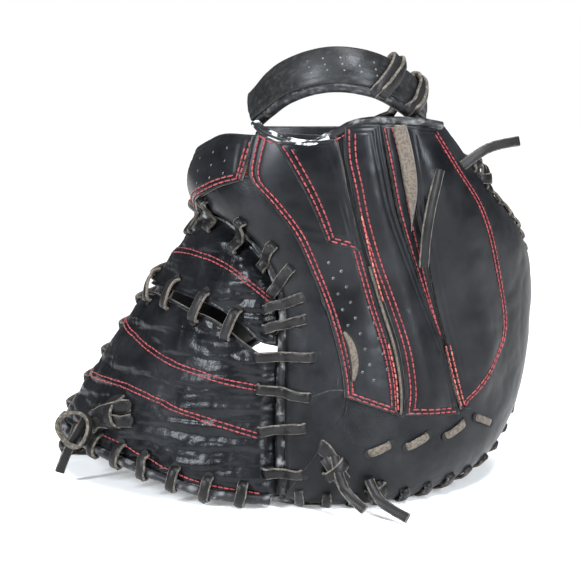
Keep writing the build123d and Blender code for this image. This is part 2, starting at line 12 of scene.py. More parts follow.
import bmesh
import bpy
import numpy as np
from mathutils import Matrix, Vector


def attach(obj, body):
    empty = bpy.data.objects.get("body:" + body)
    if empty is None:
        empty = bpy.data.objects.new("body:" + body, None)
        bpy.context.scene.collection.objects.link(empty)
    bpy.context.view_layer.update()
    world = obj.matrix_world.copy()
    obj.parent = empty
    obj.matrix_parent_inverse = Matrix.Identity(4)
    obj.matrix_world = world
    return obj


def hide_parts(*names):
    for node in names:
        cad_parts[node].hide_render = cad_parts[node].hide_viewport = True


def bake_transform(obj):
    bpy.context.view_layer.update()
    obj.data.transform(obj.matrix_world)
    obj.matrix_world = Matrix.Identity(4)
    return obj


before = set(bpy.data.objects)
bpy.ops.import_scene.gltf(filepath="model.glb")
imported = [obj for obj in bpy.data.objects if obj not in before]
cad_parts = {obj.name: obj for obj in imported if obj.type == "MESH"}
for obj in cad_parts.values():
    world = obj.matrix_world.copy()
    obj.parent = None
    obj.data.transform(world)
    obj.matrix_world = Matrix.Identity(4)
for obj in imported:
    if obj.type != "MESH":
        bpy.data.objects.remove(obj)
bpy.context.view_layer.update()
FINGERS, THUMB, STRAP = "finger_section", "thumb_section", "wrist_strap_body"
MM = 0.001

# ---- The rolled-up pattern, as in the CAD, in mm -----------------------------------------------
FINGER_RADIUS, FINGER_TAPER = 140, 0.10  # the roll over the fingers, and how it tightens per mm of height
WEB_RADIUS, WEB_TAPER = 184, 0.62  # the roll over the web
RIDGE_X, RIDGE_SHIFT, RIDGE_LEAN = 2, 0.12, 0.12
FRONT_TURN, FOLD_RADIUS, FOLD_TURN, THUMB_RADIUS = radians(62), 20, radians(80), 120
FINGER_HEIGHT, WRIST_HEIGHT, THUMB_THINNER = 26, 38, 14
EDGE_ROUND, ROLL_ROUND = 42, 26
POCKET_PAD, RIM_PAD, RIM_PAD_WIDTH = 5, 17, 26
LEATHER, PANEL, LACE_WIDTH, LACE_THICK = 2.2, 1.8, 6.0, 2.0
WEB_HEIGHT, ROPE, ROPE_HEIGHT = 12, 4.2, 6.9
ORIGIN = np.array([-0.3, 66.2, 1.2])


def curve(points, per_span=10):
    """A smooth line through points."""
    p = np.array(points, float)
    p = np.vstack([2 * p[0] - p[1], p, 2 * p[-1] - p[-2]])
    t = np.arange(per_span)[:, None] / per_span
    spans = [0.5 * (2 * b + (c - a) * t + (2 * a - 5 * b + 4 * c - d) * t**2 + (3 * b - a - 3 * c + d) * t**3)
             for a, b, c, d in zip(p, p[1:], p[2:], p[3:])]
    return np.vstack([*spans, p[-2:-1]])


def along(line, at):
    """Points of a line at the given distances along it."""
    run = np.concatenate([[0], np.cumsum(np.linalg.norm(np.diff(line, axis=0), axis=1))])
    return np.stack([np.interp(at, run, line[:, k]) for k in range(line.shape[1])], -1)


def length(line):
    return float(np.linalg.norm(np.diff(line, axis=0), axis=1).sum())


def evenly(line, step):
    """The line in equal steps of about that many mm."""
    count = max(2, int(round(length(line) / step)) + 1)
    return along(line, np.linspace(0, length(line), count))


FINGER_EDGE = curve([(60, 232), (99, 194), (139, 169), (165, 150), (178, 128), (181, 100), (177, 72),
                     (163, 42), (142, 22), (120, 11), (83, 4), (41, 0.8), (3, 4), (-18, 7)])
WEB_ROLL = curve([(-6, 10), (-11, 43), (-15, 90), (-19, 126), (-34, 155), (-50, 167), (-66, 174), (-83, 174),
                  (-99, 167), (-114, 155), (-144, 118), (-176, 70), (-198, 36)])
THUMB_EDGE = curve([(-199, 28), (-215, 10), (-236, 0.8), (-253, 12), (-262, 45), (-257, 80), (-241, 115),
                    (-220, 148), (-195, 175), (-165, 195), (-140, 205)])
HEEL_EDGE = curve([(-140, 205), (-110, 210), (-60, 207), (-20, 204), (10, 206), (40, 216), (60, 232)])


def distance(u, v, lines):
    """How far pattern points are from the nearest of those lines."""
    q = np.stack([np.asarray(u, float).ravel(), np.asarray(v, float).ravel()], -1)
    nearest = np.full(len(q), 1e9)
    for line in lines:
        for a, b in zip(line, line[1:]):
            ab = b - a
            t = np.clip((q - a) @ ab / (ab @ ab), 0, 1)
            nearest = np.minimum(nearest, np.linalg.norm(q - a - t[:, None] * ab, axis=1))
    return nearest.reshape(np.shape(u))


def smooth(t):
    t = np.clip(t, 0, 1)
    return t * t * (3 - 2 * t)


def rounded(inside, reach):
    """A quarter circle's rise from 0 at an edge to 1 at reach."""
    return np.sqrt(1 - (1 - np.clip(inside / reach, 0, 1)) ** 2)


def fold_middle(v):
    return -(WEB_RADIUS - WEB_TAPER * v) * FRONT_TURN - FOLD_RADIUS * FOLD_TURN / 2


def place(u, v, h=0.0):
    """Pattern points and heights in mm to frame points in metres."""
    u, v, h = np.broadcast_arrays(*(np.asarray(a, float) for a in (u, v, h)))
    web, fingers = WEB_RADIUS - WEB_TAPER * v, FINGER_RADIUS - FINGER_TAPER * v
    left = np.clip(-u, 0, None)
    front = np.minimum(left, web * FRONT_TURN)
    fold = np.minimum(left - front, FOLD_RADIUS * FOLD_TURN)
    x, y, heading = RIDGE_X + RIDGE_SHIFT * v, RIDGE_LEAN * v, 0 * u
    for radius, run in ((fingers, np.clip(u, 0, None)), (web, -front), (FOLD_RADIUS, -fold),
                        (THUMB_RADIUS, -(left - front - fold))):
        turned = heading + run / radius
        x = x + radius * (np.sin(turned) - np.sin(heading))
        y = y - radius * (np.cos(turned) - np.cos(heading))
        heading = turned
    return (np.stack([x + h * np.sin(heading), y - h * np.cos(heading), v], -1) - ORIGIN) * MM


def off_leather(u, v, h=0.0):
    """Unit vectors off the palm sheet, towards the back of the hand."""
    away = place(u, v, np.asarray(h) + 1.0) - place(u, v, h)
    return unit(away)


def back(u, v):
    """The back's height over the palm sheet."""
    full = FINGER_HEIGHT + (WRIST_HEIGHT - FINGER_HEIGHT) * smooth((v - 120) / 110)
    full = full - THUMB_THINNER * smooth((-60 - u) / 40) * smooth((v - 110) / 40)
    at_roll = 0.35 + 0.65 * rounded(distance(u, v, [WEB_ROLL]), ROLL_ROUND)
    return full * np.minimum(rounded(distance(u, v, [FINGER_EDGE, THUMB_EDGE]), EDGE_ROUND), at_roll)


def pocket(u, v):
    """The pocket face's height: padded behind the rim, thin at the fold."""
    inside = distance(u, v, [FINGER_EDGE, THUMB_EDGE, HEEL_EDGE])
    depth = POCKET_PAD + RIM_PAD * (1 - smooth((inside - RIM_PAD_WIDTH) / 50))
    crease = 1 - 0.7 * np.exp(-(((u - fold_middle(v)) / 24) ** 2))
    return -np.maximum(1.5, depth * rounded(inside, RIM_PAD_WIDTH) * crease)


def web_face(u, v):
    """The web's outer face: it dips where it tucks in under the roll."""
    return WEB_HEIGHT - 6.5 * (1 - smooth(distance(u, v, [WEB_ROLL]) / 15))


# ---- Noise for creases and wear ----------------------------------------------------------------
def noise(x, y, seed=0.0):
    """Smooth noise from 0 to 1."""
    x, y = np.asarray(x, float), np.asarray(y, float)
    xi, yi = np.floor(x), np.floor(y)
    fx, fy = smooth(x - xi), smooth(y - yi)

    def corner(i, j):
        value = np.sin((xi + i) * 127.1 + (yi + j) * 311.7 + seed * 74.7) * 43758.5453
        return value - np.floor(value)

    low = corner(0, 0) * (1 - fx) + corner(1, 0) * fx
    high = corner(0, 1) * (1 - fx) + corner(1, 1) * fx
    return low * (1 - fy) + high * fy


def layered_noise(x, y, octaves=3, seed=0.0):
    total, weight = 0, 0
    for k in range(octaves):
        total = total + noise(x * 2**k, y * 2**k, seed + k) / 2**k
        weight += 1 / 2**k
    return total / weight


def creases(x, y, seed=0.0, sharp=4):
    """Thin valleys, 1 in the middle of a crease and 0 away from it."""
    n = layered_noise(x, y, 2, seed)
    return (1 - np.abs(2 * n - 1)) ** sharp


# ---- Mesh building -----------------------------------------------------------------------------
class Pile:
    """Vertices and faces gathered from many small shapes, made into one piece at the end."""

    def __init__(self):
        self.verts, self.faces, self.slots, self.wear, self.count = [], [], [], [], 0

    def add(self, verts, faces, slot=0, wear=0.0):
        verts = np.asarray(verts, float).reshape(-1, 3)
        faces = np.asarray(faces, int)
        self.verts.append(verts)
        self.faces.append(faces + self.count)
        self.slots.append(np.broadcast_to(slot, len(faces)))
        self.wear.append(np.broadcast_to(wear, len(verts)))
        self.count += len(verts)

    def make(self, name, materials, body=None, replaces=()):
        faces = [f for block in self.faces for f in block.tolist()]
        mesh = bpy.data.meshes.new(name)
        verts = np.vstack(self.verts)
        verts[:, 2] = np.maximum(verts[:, 2], 0.0001)  # leather spreads where it rests on the floor
        mesh.from_pydata(verts.tolist(), [], faces)
        for material in materials:
            mesh.materials.append(material)
        mesh.polygons.foreach_set("material_index", np.concatenate(self.slots).astype(np.int32))
        mesh.polygons.foreach_set("use_smooth", np.ones(len(faces), bool))
        worn = mesh.attributes.new("wear", "FLOAT", "POINT")
        worn.data.foreach_set("value", np.concatenate(self.wear).astype(np.float32))
        shell = bmesh.new()
        shell.from_mesh(mesh)
        bmesh.ops.recalc_face_normals(shell, faces=shell.faces)
        shell.to_mesh(mesh)
        shell.free()
        mesh.update()
        piece = bpy.data.objects.new(name, mesh)
        bpy.context.scene.collection.objects.link(piece)
        if body:
            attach(piece, body)
        if replaces:
            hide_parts(*replaces)
        return piece


def cap_faces(ring):
    """Quads that close the end of a tube whose last points have those numbers."""
    k = len(ring)
    return np.array([[ring[i], ring[i + 1], ring[k - 2 - i], ring[k - 1 - i]] for i in range(k // 2 - 1)])


def unit(vectors):
    return vectors / np.linalg.norm(vectors, axis=-1, keepdims=True)


def grid_faces(rows, columns, ring=False):
    """Quads of a grid numbered row by row; ring joins each row's last point to its first."""
    i, j = np.meshgrid(np.arange(rows - 1), np.arange(columns if ring else columns - 1), indexing="ij")
    k = (j + 1) % columns
    return np.stack([i * columns + j, (i + 1) * columns + j, (i + 1) * columns + k, i * columns + k],
                    -1).reshape(-1, 4)


PUFF_REACH = 14  # mm in from its edge where a padded leather has swelled to the full
# how far a leather's grid points are in from its cut edge, in mm
EDGE_STEPS = np.array([0, 0.15, 0.4, 0.8, 1.3, 1.9, 2.5, 3.1, 3.7, 4.3, 4.9, 5.6, 6.6, 8.0])


def steps_across(span, middle):
    """Distances from one cut edge to the other, close together at both."""
    near = EDGE_STEPS * min(1.0, span / (2.4 * EDGE_STEPS[-1]))
    count = max(2, int((span - 2 * near[-1]) / middle))
    inner = np.linspace(near[-1], span - near[-1], count + 1)[1:-1]
    return np.concatenate([near, inner, (span - near)[::-1]])


def closed_below(rows, columns):
    """Faces of a grid, faces of an underside that shares its rim, and the points that get a twin below."""
    faces = grid_faces(rows, columns)
    number = np.arange(rows * columns)
    rim = np.ones((rows, columns), bool)
    rim[1:-1, 1:-1] = False
    inner = number[~rim.ravel()]
    under = number.copy()
    under[inner] = rows * columns + np.arange(len(inner))
    return faces, under[faces][:, ::-1], inner


def patch_grid(left, right, middle):
    """A pattern grid ruled between two lines, with its distance in from the cut edges."""
    mean = (length(left) + length(right)) / 2
    shares = steps_across(mean, middle) / mean
    lefts, rights = along(left, shares * length(left)), along(right, shares * length(right))
    widths = np.linalg.norm(rights - lefts, axis=1)
    columns = np.linspace(0, 1, len(steps_across(widths.max(), middle)))
    across = []
    for width in widths:
        steps = steps_across(width, middle)
        across.append(np.interp(columns, np.linspace(0, 1, len(steps)), steps))
    across = np.array(across)
    share = across / widths[:, None]
    uv = lefts[:, None] + (rights - lefts)[:, None] * share[..., None]
    ends = np.minimum(shares, 1 - shares)[:, None] * mean
    inside = np.minimum(np.minimum(across, widths[:, None] - across), ends)
    return uv[..., 0], uv[..., 1], inside


def leather_patch(pile, left, right, face, thick, puff=0.0, groove=(), texture=None, middle=2.5,
                  round_edge=0.9, cut_slot=0, under_slot=0, down=False):
    """One cut leather on the surface face(u, v), its outer side up, or down into the pocket: rounded at its
    cut edge, puffed up by its padding, and pressed in along its stitches. thick is mm, or a function."""
    u, v, inside = patch_grid(evenly(left, 2), evenly(right, 2), middle)
    base = face(u, v)
    thickness = thick(u, v) if callable(thick) else thick
    top = thickness * rounded(inside, round_edge) + puff * smooth(inside / PUFF_REACH)
    for line in groove:
        top = top - 0.35 * np.exp(-(((inside - line) / 0.55) ** 2))
    worn = np.clip(1 - inside / 1.2, 0, 1)
    if texture is not None:
        top = top + texture(u, v) * smooth(inside / 2)
    faces, under, inner = closed_below(*u.shape)
    slots = np.zeros(len(faces), int)
    lip = (inside < 0.1).ravel()
    slots[lip[faces].any(axis=1)] = cut_slot
    upper = place(u, v, base + (-top if down else top)).reshape(-1, 3)
    lower = place(u, v, base).reshape(-1, 3)[inner]
    slots = np.concatenate([slots, np.full(len(faces), under_slot)])
    pile.add(np.vstack([upper, lower]), np.vstack([faces, under]), slots,
             np.concatenate([worn.ravel(), np.zeros(len(inner))]))


def section(width, thick, crown=0.15):
    """A lace's cross-section, and which of its sides show raw leather."""
    w, t, c = width / 2, thick / 2, min(thick, width) * 0.28
    points = [(-w, -t + c), (-w + c, -t), (0, -t), (w - c, -t), (w, -t + c), (w, t - c), (w - c, t),
              (0, t + crown), (-w + c, t), (-w, t - c)]
    raw = [1, 1, 1, 1, 1, 1, 0, 0, 1, 1]
    return np.array(points), np.array(raw)


def ribbon(pile, points, offs, width=LACE_WIDTH, thick=LACE_THICK, black=0, raw=1, wobble=0.0, seed=0.0):
    """A flat lace along points in metres, whose black face looks along offs."""
    points, offs = np.asarray(points, float), np.asarray(offs, float)
    run = unit(np.gradient(points, axis=0))
    side = unit(np.cross(run, offs))
    up = np.cross(side, run)
    shape, sides = section(width * MM, thick * MM, 0.15 * MM)
    n = len(points)
    t = np.arange(n) / 3
    wide = 1 + wobble * (noise(t, seed, seed) - 0.5)
    twist = wobble * 2.0 * (noise(t * 0.6, seed + 9, seed) - 0.5)
    across = side * np.cos(twist)[:, None] + up * np.sin(twist)[:, None]
    lift = up * np.cos(twist)[:, None] - side * np.sin(twist)[:, None]
    verts = (points[:, None] + across[:, None] * (shape[:, 0] * wide[:, None])[..., None]
             + lift[:, None] * shape[None, :, 1, None])
    faces = grid_faces(n, len(shape), ring=True)
    slots = np.where(np.tile(sides, n - 1) > 0, raw, black)
    pile.add(verts.reshape(-1, 3), faces, slots)
    for row, order in ((0, -1), (n - 1, 1)):
        pile.add(verts[row], cap_faces(np.arange(len(shape))[::order]), raw)


def tube(pile, points, radius, sides=14, slot=0, ripple=0.0, seed=0.0, wear=0.0):
    """A round rope along points in metres."""
    points = np.asarray(points, float)
    run = unit(np.gradient(points, axis=0))
    up = np.tile([0.31, -0.42, 0.85], (len(points), 1))
    side = unit(np.cross(run, up))
    up = np.cross(side, run)
    angle = np.arange(sides) * 2 * pi / sides
    radius = np.broadcast_to(radius, len(points)) * MM
    distance_along = np.concatenate([[0], np.cumsum(np.linalg.norm(np.diff(points, axis=0), axis=1))]) / MM
    bump = 1 + ripple * (layered_noise(distance_along[:, None] / 2.2, angle[None] * 1.5, 3, seed) - 0.5)
    verts = points[:, None] + (radius[:, None] * bump)[..., None] * (
        side[:, None] * np.cos(angle)[None, :, None] + up[:, None] * np.sin(angle)[None, :, None])
    worn = wear * smooth((layered_noise(distance_along[:, None] / 6, angle[None], 3, seed + 5) - 0.45) * 6)
    pile.add(verts.reshape(-1, 3), grid_faces(len(points), sides, ring=True), slot, worn.ravel())
    for row, order in ((0, -1), (len(points) - 1, 1)):
        pile.add(verts[row], cap_faces(np.arange(sides)[::order]), slot)


# ---- Stitches, eyelets and air holes -----------------------------------------------------------
STITCH_PITCH, STITCH_LENGTH, THREAD = 3.5, 3.1, 0.95


def thread_capsule(segments=6):
    """A stitch of unit length and width: its verts along x, and its faces."""
    profile = [(-0.5, 0.25), (-0.42, 0.8), (-0.2, 1.0), (0.2, 1.0), (0.42, 0.8), (0.5, 0.25)]
    angle = np.arange(segments) * 2 * pi / segments
    verts = np.array([[x, r * 0.5 * np.cos(a), r * 0.5 * np.sin(a)] for x, r in profile for a in angle])
    return verts, grid_faces(len(profile), segments, ring=True)


STITCH_VERTS, STITCH_FACES = thread_capsule()


def stitches(pile, line, height, slot=0, pitch=STITCH_PITCH, size=1.0, seed=0.0):
    """Thread along a pattern line (k, 2), lying at height(u, v)."""
    count = max(1, int(length(line) / pitch))
    at = (np.arange(count) + 0.5) * length(line) / count
    ends = [along(line, at + side * STITCH_LENGTH * 0.5) for side in (-1, 1)]
    tips = [place(e[:, 0], e[:, 1], height(e[:, 0], e[:, 1])) for e in ends]
    middle, run = (tips[0] + tips[1]) / 2, tips[1] - tips[0]
    centre = along(line, at)
    up = off_leather(centre[:, 0], centre[:, 1], height(centre[:, 0], centre[:, 1]))
    side = unit(np.cross(run, up))
    lean = 0.06 * (noise(at, seed, seed) - 0.5)[:, None]
    run = run + side * np.linalg.norm(run, axis=1, keepdims=True) * lean
    verts = (middle[:, None] + STITCH_VERTS[None, :, :1] * run[:, None]
             + STITCH_VERTS[None, :, 1:2] * side[:, None] * THREAD * size * MM
             + STITCH_VERTS[None, :, 2:] * up[:, None] * THREAD * size * MM)
    n = len(STITCH_VERTS)
    faces = (STITCH_FACES[None] + (np.arange(count) * n)[:, None, None]).reshape(-1, 4)
    pile.add(verts.reshape(-1, 3), faces, slot)


def inset(line, other, amount):
    """The pattern line moved towards another line by amount mm."""
    shares = np.linspace(0, 1, 60)
    a, b = along(line, shares * length(line)), along(other, shares * length(other))
    toward = b - a
    return a + toward / np.linalg.norm(toward, axis=1, keepdims=True) * amount


def disc(pile, u, v, h, radius, slot=0, segments=12, lift=0.0):
    """A small flat disc on the pattern: an air hole's grey rim, or painted shade inside an air hole or
    eyelet.
    """
    centre, up = place(u, v, h), off_leather(u, v, h)
    run = unit(place(u, v + 1.0, h) - centre)
    side = np.cross(run, up)
    angle = np.arange(segments) * 2 * pi / segments
    round_it = np.cos(angle)[:, None] * run + np.sin(angle)[:, None] * side
    verts = centre + round_it * radius * MM + up * lift * MM
    pile.add(verts, cap_faces(np.arange(segments))[:, ::-1], slot)


# ---- Materials ---------------------------------------------------------------------------------
def wire(tree, made, inputs):
    """Sets a node's inputs: to values, or to other nodes' outputs."""
    for key, value in inputs.items():
        if isinstance(value, bpy.types.NodeSocket):
            tree.links.new(value, made.inputs[key])
        else:
            made.inputs[key].default_value = value


def node(tree, kind, inputs=None, **settings):
    made = tree.nodes.new(kind)
    for key, value in settings.items():
        setattr(made, key, value)
    wire(tree, made, inputs or {})
    return made


def times(tree, a, b):
    return node(tree, "ShaderNodeMath", {0: a, 1: b}, operation="MULTIPLY").outputs[0]


def ramp(tree, source, low, high):
    """0 below low and 1 above high, smoothly between."""
    return node(tree, "ShaderNodeMapRange", {"From Min": low, "From Max": high, "Value": source},
                interpolation_type="SMOOTHSTEP").outputs["Result"]


def mix(tree, factor, a, b):
    """Colour a, turning to b as factor goes to 1."""
    a, b = ((*value, 1) if isinstance(value, tuple) else value for value in (a, b))
    return node(tree, "ShaderNodeMix", {"Factor": factor, "A": a, "B": b}, data_type="RGBA").outputs["Result"]


def dents(tree, height, strength, deep, **settings):
    """A bump node; deep is its depth in metres."""
    inputs = {"Strength": strength, "Distance": deep, "Height": height}
    return node(tree, "ShaderNodeBump", inputs, **settings)


def new_material(name):
    material = bpy.data.materials.new(name)
    material.use_nodes = True
    return material, material.node_tree, material.node_tree.nodes["Principled BSDF"]


def leather_material(name, colour, worn_colour, roughness, grain, grain_depth, scuff, lines=0.0,
                     line_scale=(1, 1, 1), seed=0.0):
    """Dyed leather: fine pebbled grain, a broken sheen, and scuffs on its cut edges and rubbed places."""
    material, tree, shader = new_material(name)
    whole = node(tree, "ShaderNodeTexCoord").outputs["Object"]
    where = node(tree, "ShaderNodeMapping",
                 {"Location": (seed, seed * 0.7, -seed), "Vector": whole}).outputs[0]

    def spots(scale, detail):
        return node(tree, "ShaderNodeTexNoise", {"Scale": scale, "Detail": detail, "Roughness": 0.6,
                                                 "Vector": where}).outputs["Fac"]

    broad, fine = spots(28, 4), spots(260, 5)
    worn = node(tree, "ShaderNodeAttribute", attribute_name="wear").outputs["Fac"]
    rubbed = times(tree, ramp(tree, fine, 0.35, 0.62), worn)
    specks = times(tree, ramp(tree, broad, 0.56, 0.74), ramp(tree, fine, 0.54, 0.66))
    both = node(tree, "ShaderNodeMath", {0: rubbed, 1: times(tree, specks, scuff * 0.35)},
                operation="MAXIMUM")
    amount = times(tree, both.outputs[0], min(1.0, scuff * 1.6))
    lighter = tuple(c * 1.7 + 0.006 for c in colour)
    tone = mix(tree, ramp(tree, broad, 0.35, 0.7), colour, lighter)
    sheen = node(tree, "ShaderNodeMapRange", {"To Min": roughness - 0.13, "To Max": roughness + 0.06,
                                              "Value": broad})
    pebbles = node(tree, "ShaderNodeTexVoronoi", {"Scale": grain, "Vector": where}, feature="SMOOTH_F1")
    last = dents(tree, pebbles.outputs["Distance"], grain_depth, 0.0003)
    if lines:
        stretched = node(tree, "ShaderNodeMapping", {"Scale": line_scale, "Vector": where}).outputs[0]
        wrinkle = node(tree, "ShaderNodeTexNoise", {"Scale": 110, "Detail": 3, "Vector": stretched},
                       noise_type="RIDGED_MULTIFRACTAL")
        fold = dents(tree, wrinkle.outputs["Fac"], lines, 0.0008, invert=True)
        wire(tree, fold, {"Normal": last.outputs["Normal"]})
        last = fold
    wire(tree, shader, {"Base Color": mix(tree, amount, tone, worn_colour),
                        "Roughness": sheen.outputs["Result"],
                        "Specular IOR Level": 0.15, "Normal": last.outputs["Normal"]})
    return material


def plain_material(name, colour, roughness, fuzz=0.0, vary=(0.0, 0.0, 0.0), scale=400):
    """Thread, felt and raw leather: one tone that drifts a little from place to place."""
    material, tree, shader = new_material(name)
    whole = node(tree, "ShaderNodeTexCoord").outputs["Object"]
    spread = node(tree, "ShaderNodeTexNoise", {"Scale": scale, "Detail": 4, "Vector": whole}).outputs["Fac"]
    other = tuple(min(1.0, max(0.0, c + d)) for c, d in zip(colour, vary))
    wire(tree, shader, {"Base Color": mix(tree, ramp(tree, spread, 0.42, 0.62), colour, other),
                        "Roughness": roughness, "Sheen Weight": fuzz,
                        "Normal": dents(tree, spread, 0.3, 0.0003).outputs["Normal"]})
    return material


BLACK, SOFT_BLACK, GREY = (0.0034, 0.0037, 0.0046), (0.006, 0.006, 0.0065), (0.13, 0.125, 0.118)
PANEL_LEATHER = leather_material("panel_leather", BLACK, GREY, roughness=0.34, grain=1500, grain_depth=0.12,
                                 scuff=0.1, lines=0.2, line_scale=(1, 1, 0.35))
SHELL_LEATHER = leather_material("shell_leather", BLACK, GREY, roughness=0.38, grain=1100, grain_depth=0.3,
                                 scuff=0.35, lines=0.35, seed=3.1)
WEB_LEATHER = leather_material("web_leather", BLACK, (0.1, 0.098, 0.095), roughness=0.33, grain=900,
                               grain_depth=0.3, scuff=0.16, lines=1.0, line_scale=(0.5, 0.5, 2.2), seed=5.3)
PALM_LEATHER = leather_material("palm_leather", SOFT_BLACK, (0.14, 0.125, 0.11), roughness=0.45, grain=900,
                                grain_depth=0.35, scuff=0.6, lines=0.5, seed=7.7)
BINDING_LEATHER = leather_material("binding_leather", (0.008, 0.008, 0.009), (0.5, 0.5, 0.49), roughness=0.42,
                                   grain=1200, grain_depth=0.3, scuff=0.9, seed=9.1)
LACE_LEATHER = leather_material("lace_leather", (0.0065, 0.006, 0.006), (0.12, 0.1, 0.076), roughness=0.42,
                                grain=1500, grain_depth=0.3, scuff=0.5, lines=0.4, seed=11.3)
STRAP_LEATHER = leather_material("strap_leather", (0.010, 0.010, 0.0105), (0.12, 0.118, 0.115),
                                 roughness=0.38, grain=1300, grain_depth=0.25, scuff=0.22, lines=0.3,
                                 seed=12.1)
LINING_LEATHER = leather_material("lining_leather", (0.20, 0.035, 0.016), (0.3, 0.1, 0.05), roughness=0.7,
                                  grain=1200, grain_depth=0.3, scuff=0.6, seed=13.7)
RAW_EDGE = plain_material("raw_leather_edge", (0.032, 0.025, 0.019), 0.8, 0.1, (0.07, 0.058, 0.043), 420)
TAN_EDGE = plain_material("tan_leather_edge", (0.095, 0.074, 0.055), 0.8, 0.1, (-0.05, -0.04, -0.03), 700)
THREAD_RED = plain_material("red_thread", (0.15, 0.002, 0.007), 0.6, 0.15, (0.1, 0.02, 0.018), 260)
THREAD_WORN = plain_material("worn_red_thread", (0.27, 0.03, 0.024), 0.6, 0.15, (0.12, 0.08, 0.06), 300)
# painted shade: a near-black matte tone for discs and strips that stand for the dark inside holes, eyelets
# and the finger slit
PAINTED_HOLE_SHADE = plain_material("painted_hole_shade", (0.002, 0.002, 0.002), 0.9)
HOLE_GREY = plain_material("hole_rim", (0.06, 0.06, 0.06), 0.7, 0.0, (0.06, 0.06, 0.058), 300)
FELT = plain_material("felt_padding", (0.45, 0.42, 0.38), 0.95, 0.4, (-0.1, -0.1, -0.1), 700)


def across_fold(piece):
    """Bakes the piece's placement into its mesh; it is not tied to the fingers or the thumb."""
    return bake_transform(piece)


# ---- Panels on the back of the hand ------------------------------------------------------------
FINGER_LINES = [  # the middle of each padded finger and how far it stands out in mm
    (curve([(64, 60), (58, 84), (48, 112), (36, 142), (26, 168), (16, 195), (10, 222)]), 9, 3.3),
    (curve([(98, 74), (92, 98), (82, 122), (70, 150), (58, 178), (48, 204), (38, 226)]), 12, 3.6),
    (curve([(86, 62), (76, 84), (66, 110), (52, 142), (41, 170), (33, 200), (27, 226)]), 4, -2.2),
    (curve([(49, 60), (44, 86), (35, 112), (25, 138), (15, 165), (8, 190)]), 3.5, -1.2),
]


def finger_shape(u, v):
    """The fingers' swell under the panels, and the valleys between them."""
    total = 0
    for line, reach, rise in FINGER_LINES:
        total = total + rise * np.exp(-((distance(u, v, [line[::4]]) / reach) ** 2))
    return total * smooth((v - 48) / 20)


def hand_back(u, v):
    return back(u, v) + finger_shape(u, v)


def panel_wrinkle(u, v):
    """Faint creases across the fingers, where they bend."""
    return -0.28 * creases(u / 26, v / 7, 4.0, 6) - 0.18 * creases(u / 9, v / 22, 8.0, 5)


def stitched_panel(name, left, right, replaces, rows=(2.2, 4.7), sides="lrb", puff=0.5, body=FINGERS,
                   face=hand_back, thick=PANEL, extra=None, edge=RAW_EDGE):
    """A panel with its raw cut edge, and rows of red stitches along the sides named: left, right, bottom."""
    left, right = curve(left), curve(right)
    pile = Pile()
    leather_patch(pile, left, right, face, thick, puff, groove=rows, texture=panel_wrinkle, cut_slot=1)

    def top(u, v):
        return face(u, v) + thick + 0.05

    bottom = np.array([left[0], right[0]])
    upper = np.array([left[-1], right[-1]])
    for row in rows:
        lines = {"l": inset(left, right, row), "r": inset(right, left, row),
                 "b": inset(evenly(bottom, 3), evenly(upper, 3), row)}
        for side in sides:
            line = along(lines[side], np.linspace(row, length(lines[side]) - row, 60))
            stitches(pile, line, lambda u, v: top(u, v) + puff * smooth(row / PUFF_REACH) - 0.1, 2,
                     seed=row)
    if extra:
        extra(pile, top)
    materials = [PANEL_LEATHER, edge, THREAD_RED, HOLE_GREY, PAINTED_HOLE_SHADE, TAN_EDGE]
    piece = pile.make(name, materials, body, replaces)
    return piece if body else across_fold(piece)


def air_holes(columns, across, down, radius=0.85):
    """Slanted columns of punched air holes: from a pattern point, each hole across, down mm from the last."""
    def punch(pile, top):
        for (u, v), count in columns:
            for k in range(count):
                x, y = u + across * k + 0.6 * (noise(k, u, 1.0) - 0.5), v + down * k
                h = float(top(np.array(x), np.array(y))) + 0.42
                disc(pile, x, y, h, radius, 3, lift=0.02)
                # the smaller disc, set off to one side of the rim, is painted shade inside the hole
                disc(pile, x + 0.2, y - 0.15, h, radius * 0.55, 4, lift=0.06)
    return punch


def index_extras(pile, top):
    air_holes([((25, 86), 8), ((31.5, 81), 8), ((37.5, 87), 5)], -3.3, 9.2)(pile, top)
    slit = curve([(13.5, 110), (17.5, 103), (20, 95), (21.2, 88), (21, 81)], 6)
    widths = 4.4 * np.sin(np.linspace(0.15, pi - 0.15, len(slit))) ** 0.6
    # the wider, lower strip is painted shade along the slit's opening; the narrower one on top is its tan
    # binding
    for spread, lift, slot in ((1.5, 0.35, 4), (1.0, 0.55, 5)):
        flat_strip(pile, slit, widths * spread, lambda u, v: top(u, v) + lift, slot)


def flat_strip(pile, line, widths, height, slot, crown=0.5, columns=5):
    """A thin strip along a pattern line, with its own width at each point, a little crowned."""
    run = unit(np.gradient(line, axis=0))
    side = np.stack([run[:, 1], -run[:, 0]], -1)
    share = np.linspace(-0.5, 0.5, columns)
    uv = line[:, None] + side[:, None] * (np.broadcast_to(widths, len(line))[:, None] * share)[..., None]
    u, v = uv[..., 0], uv[..., 1]
    top = height(u, v) + crown * (1 - (2 * share) ** 2)
    low = height(u, v) - 0.3
    faces, under, inner = closed_below(*u.shape)
    verts = np.vstack([place(u, v, top).reshape(-1, 3), place(u, v, low).reshape(-1, 3)[inner]])
    pile.add(verts, np.vstack([faces, under]), slot)


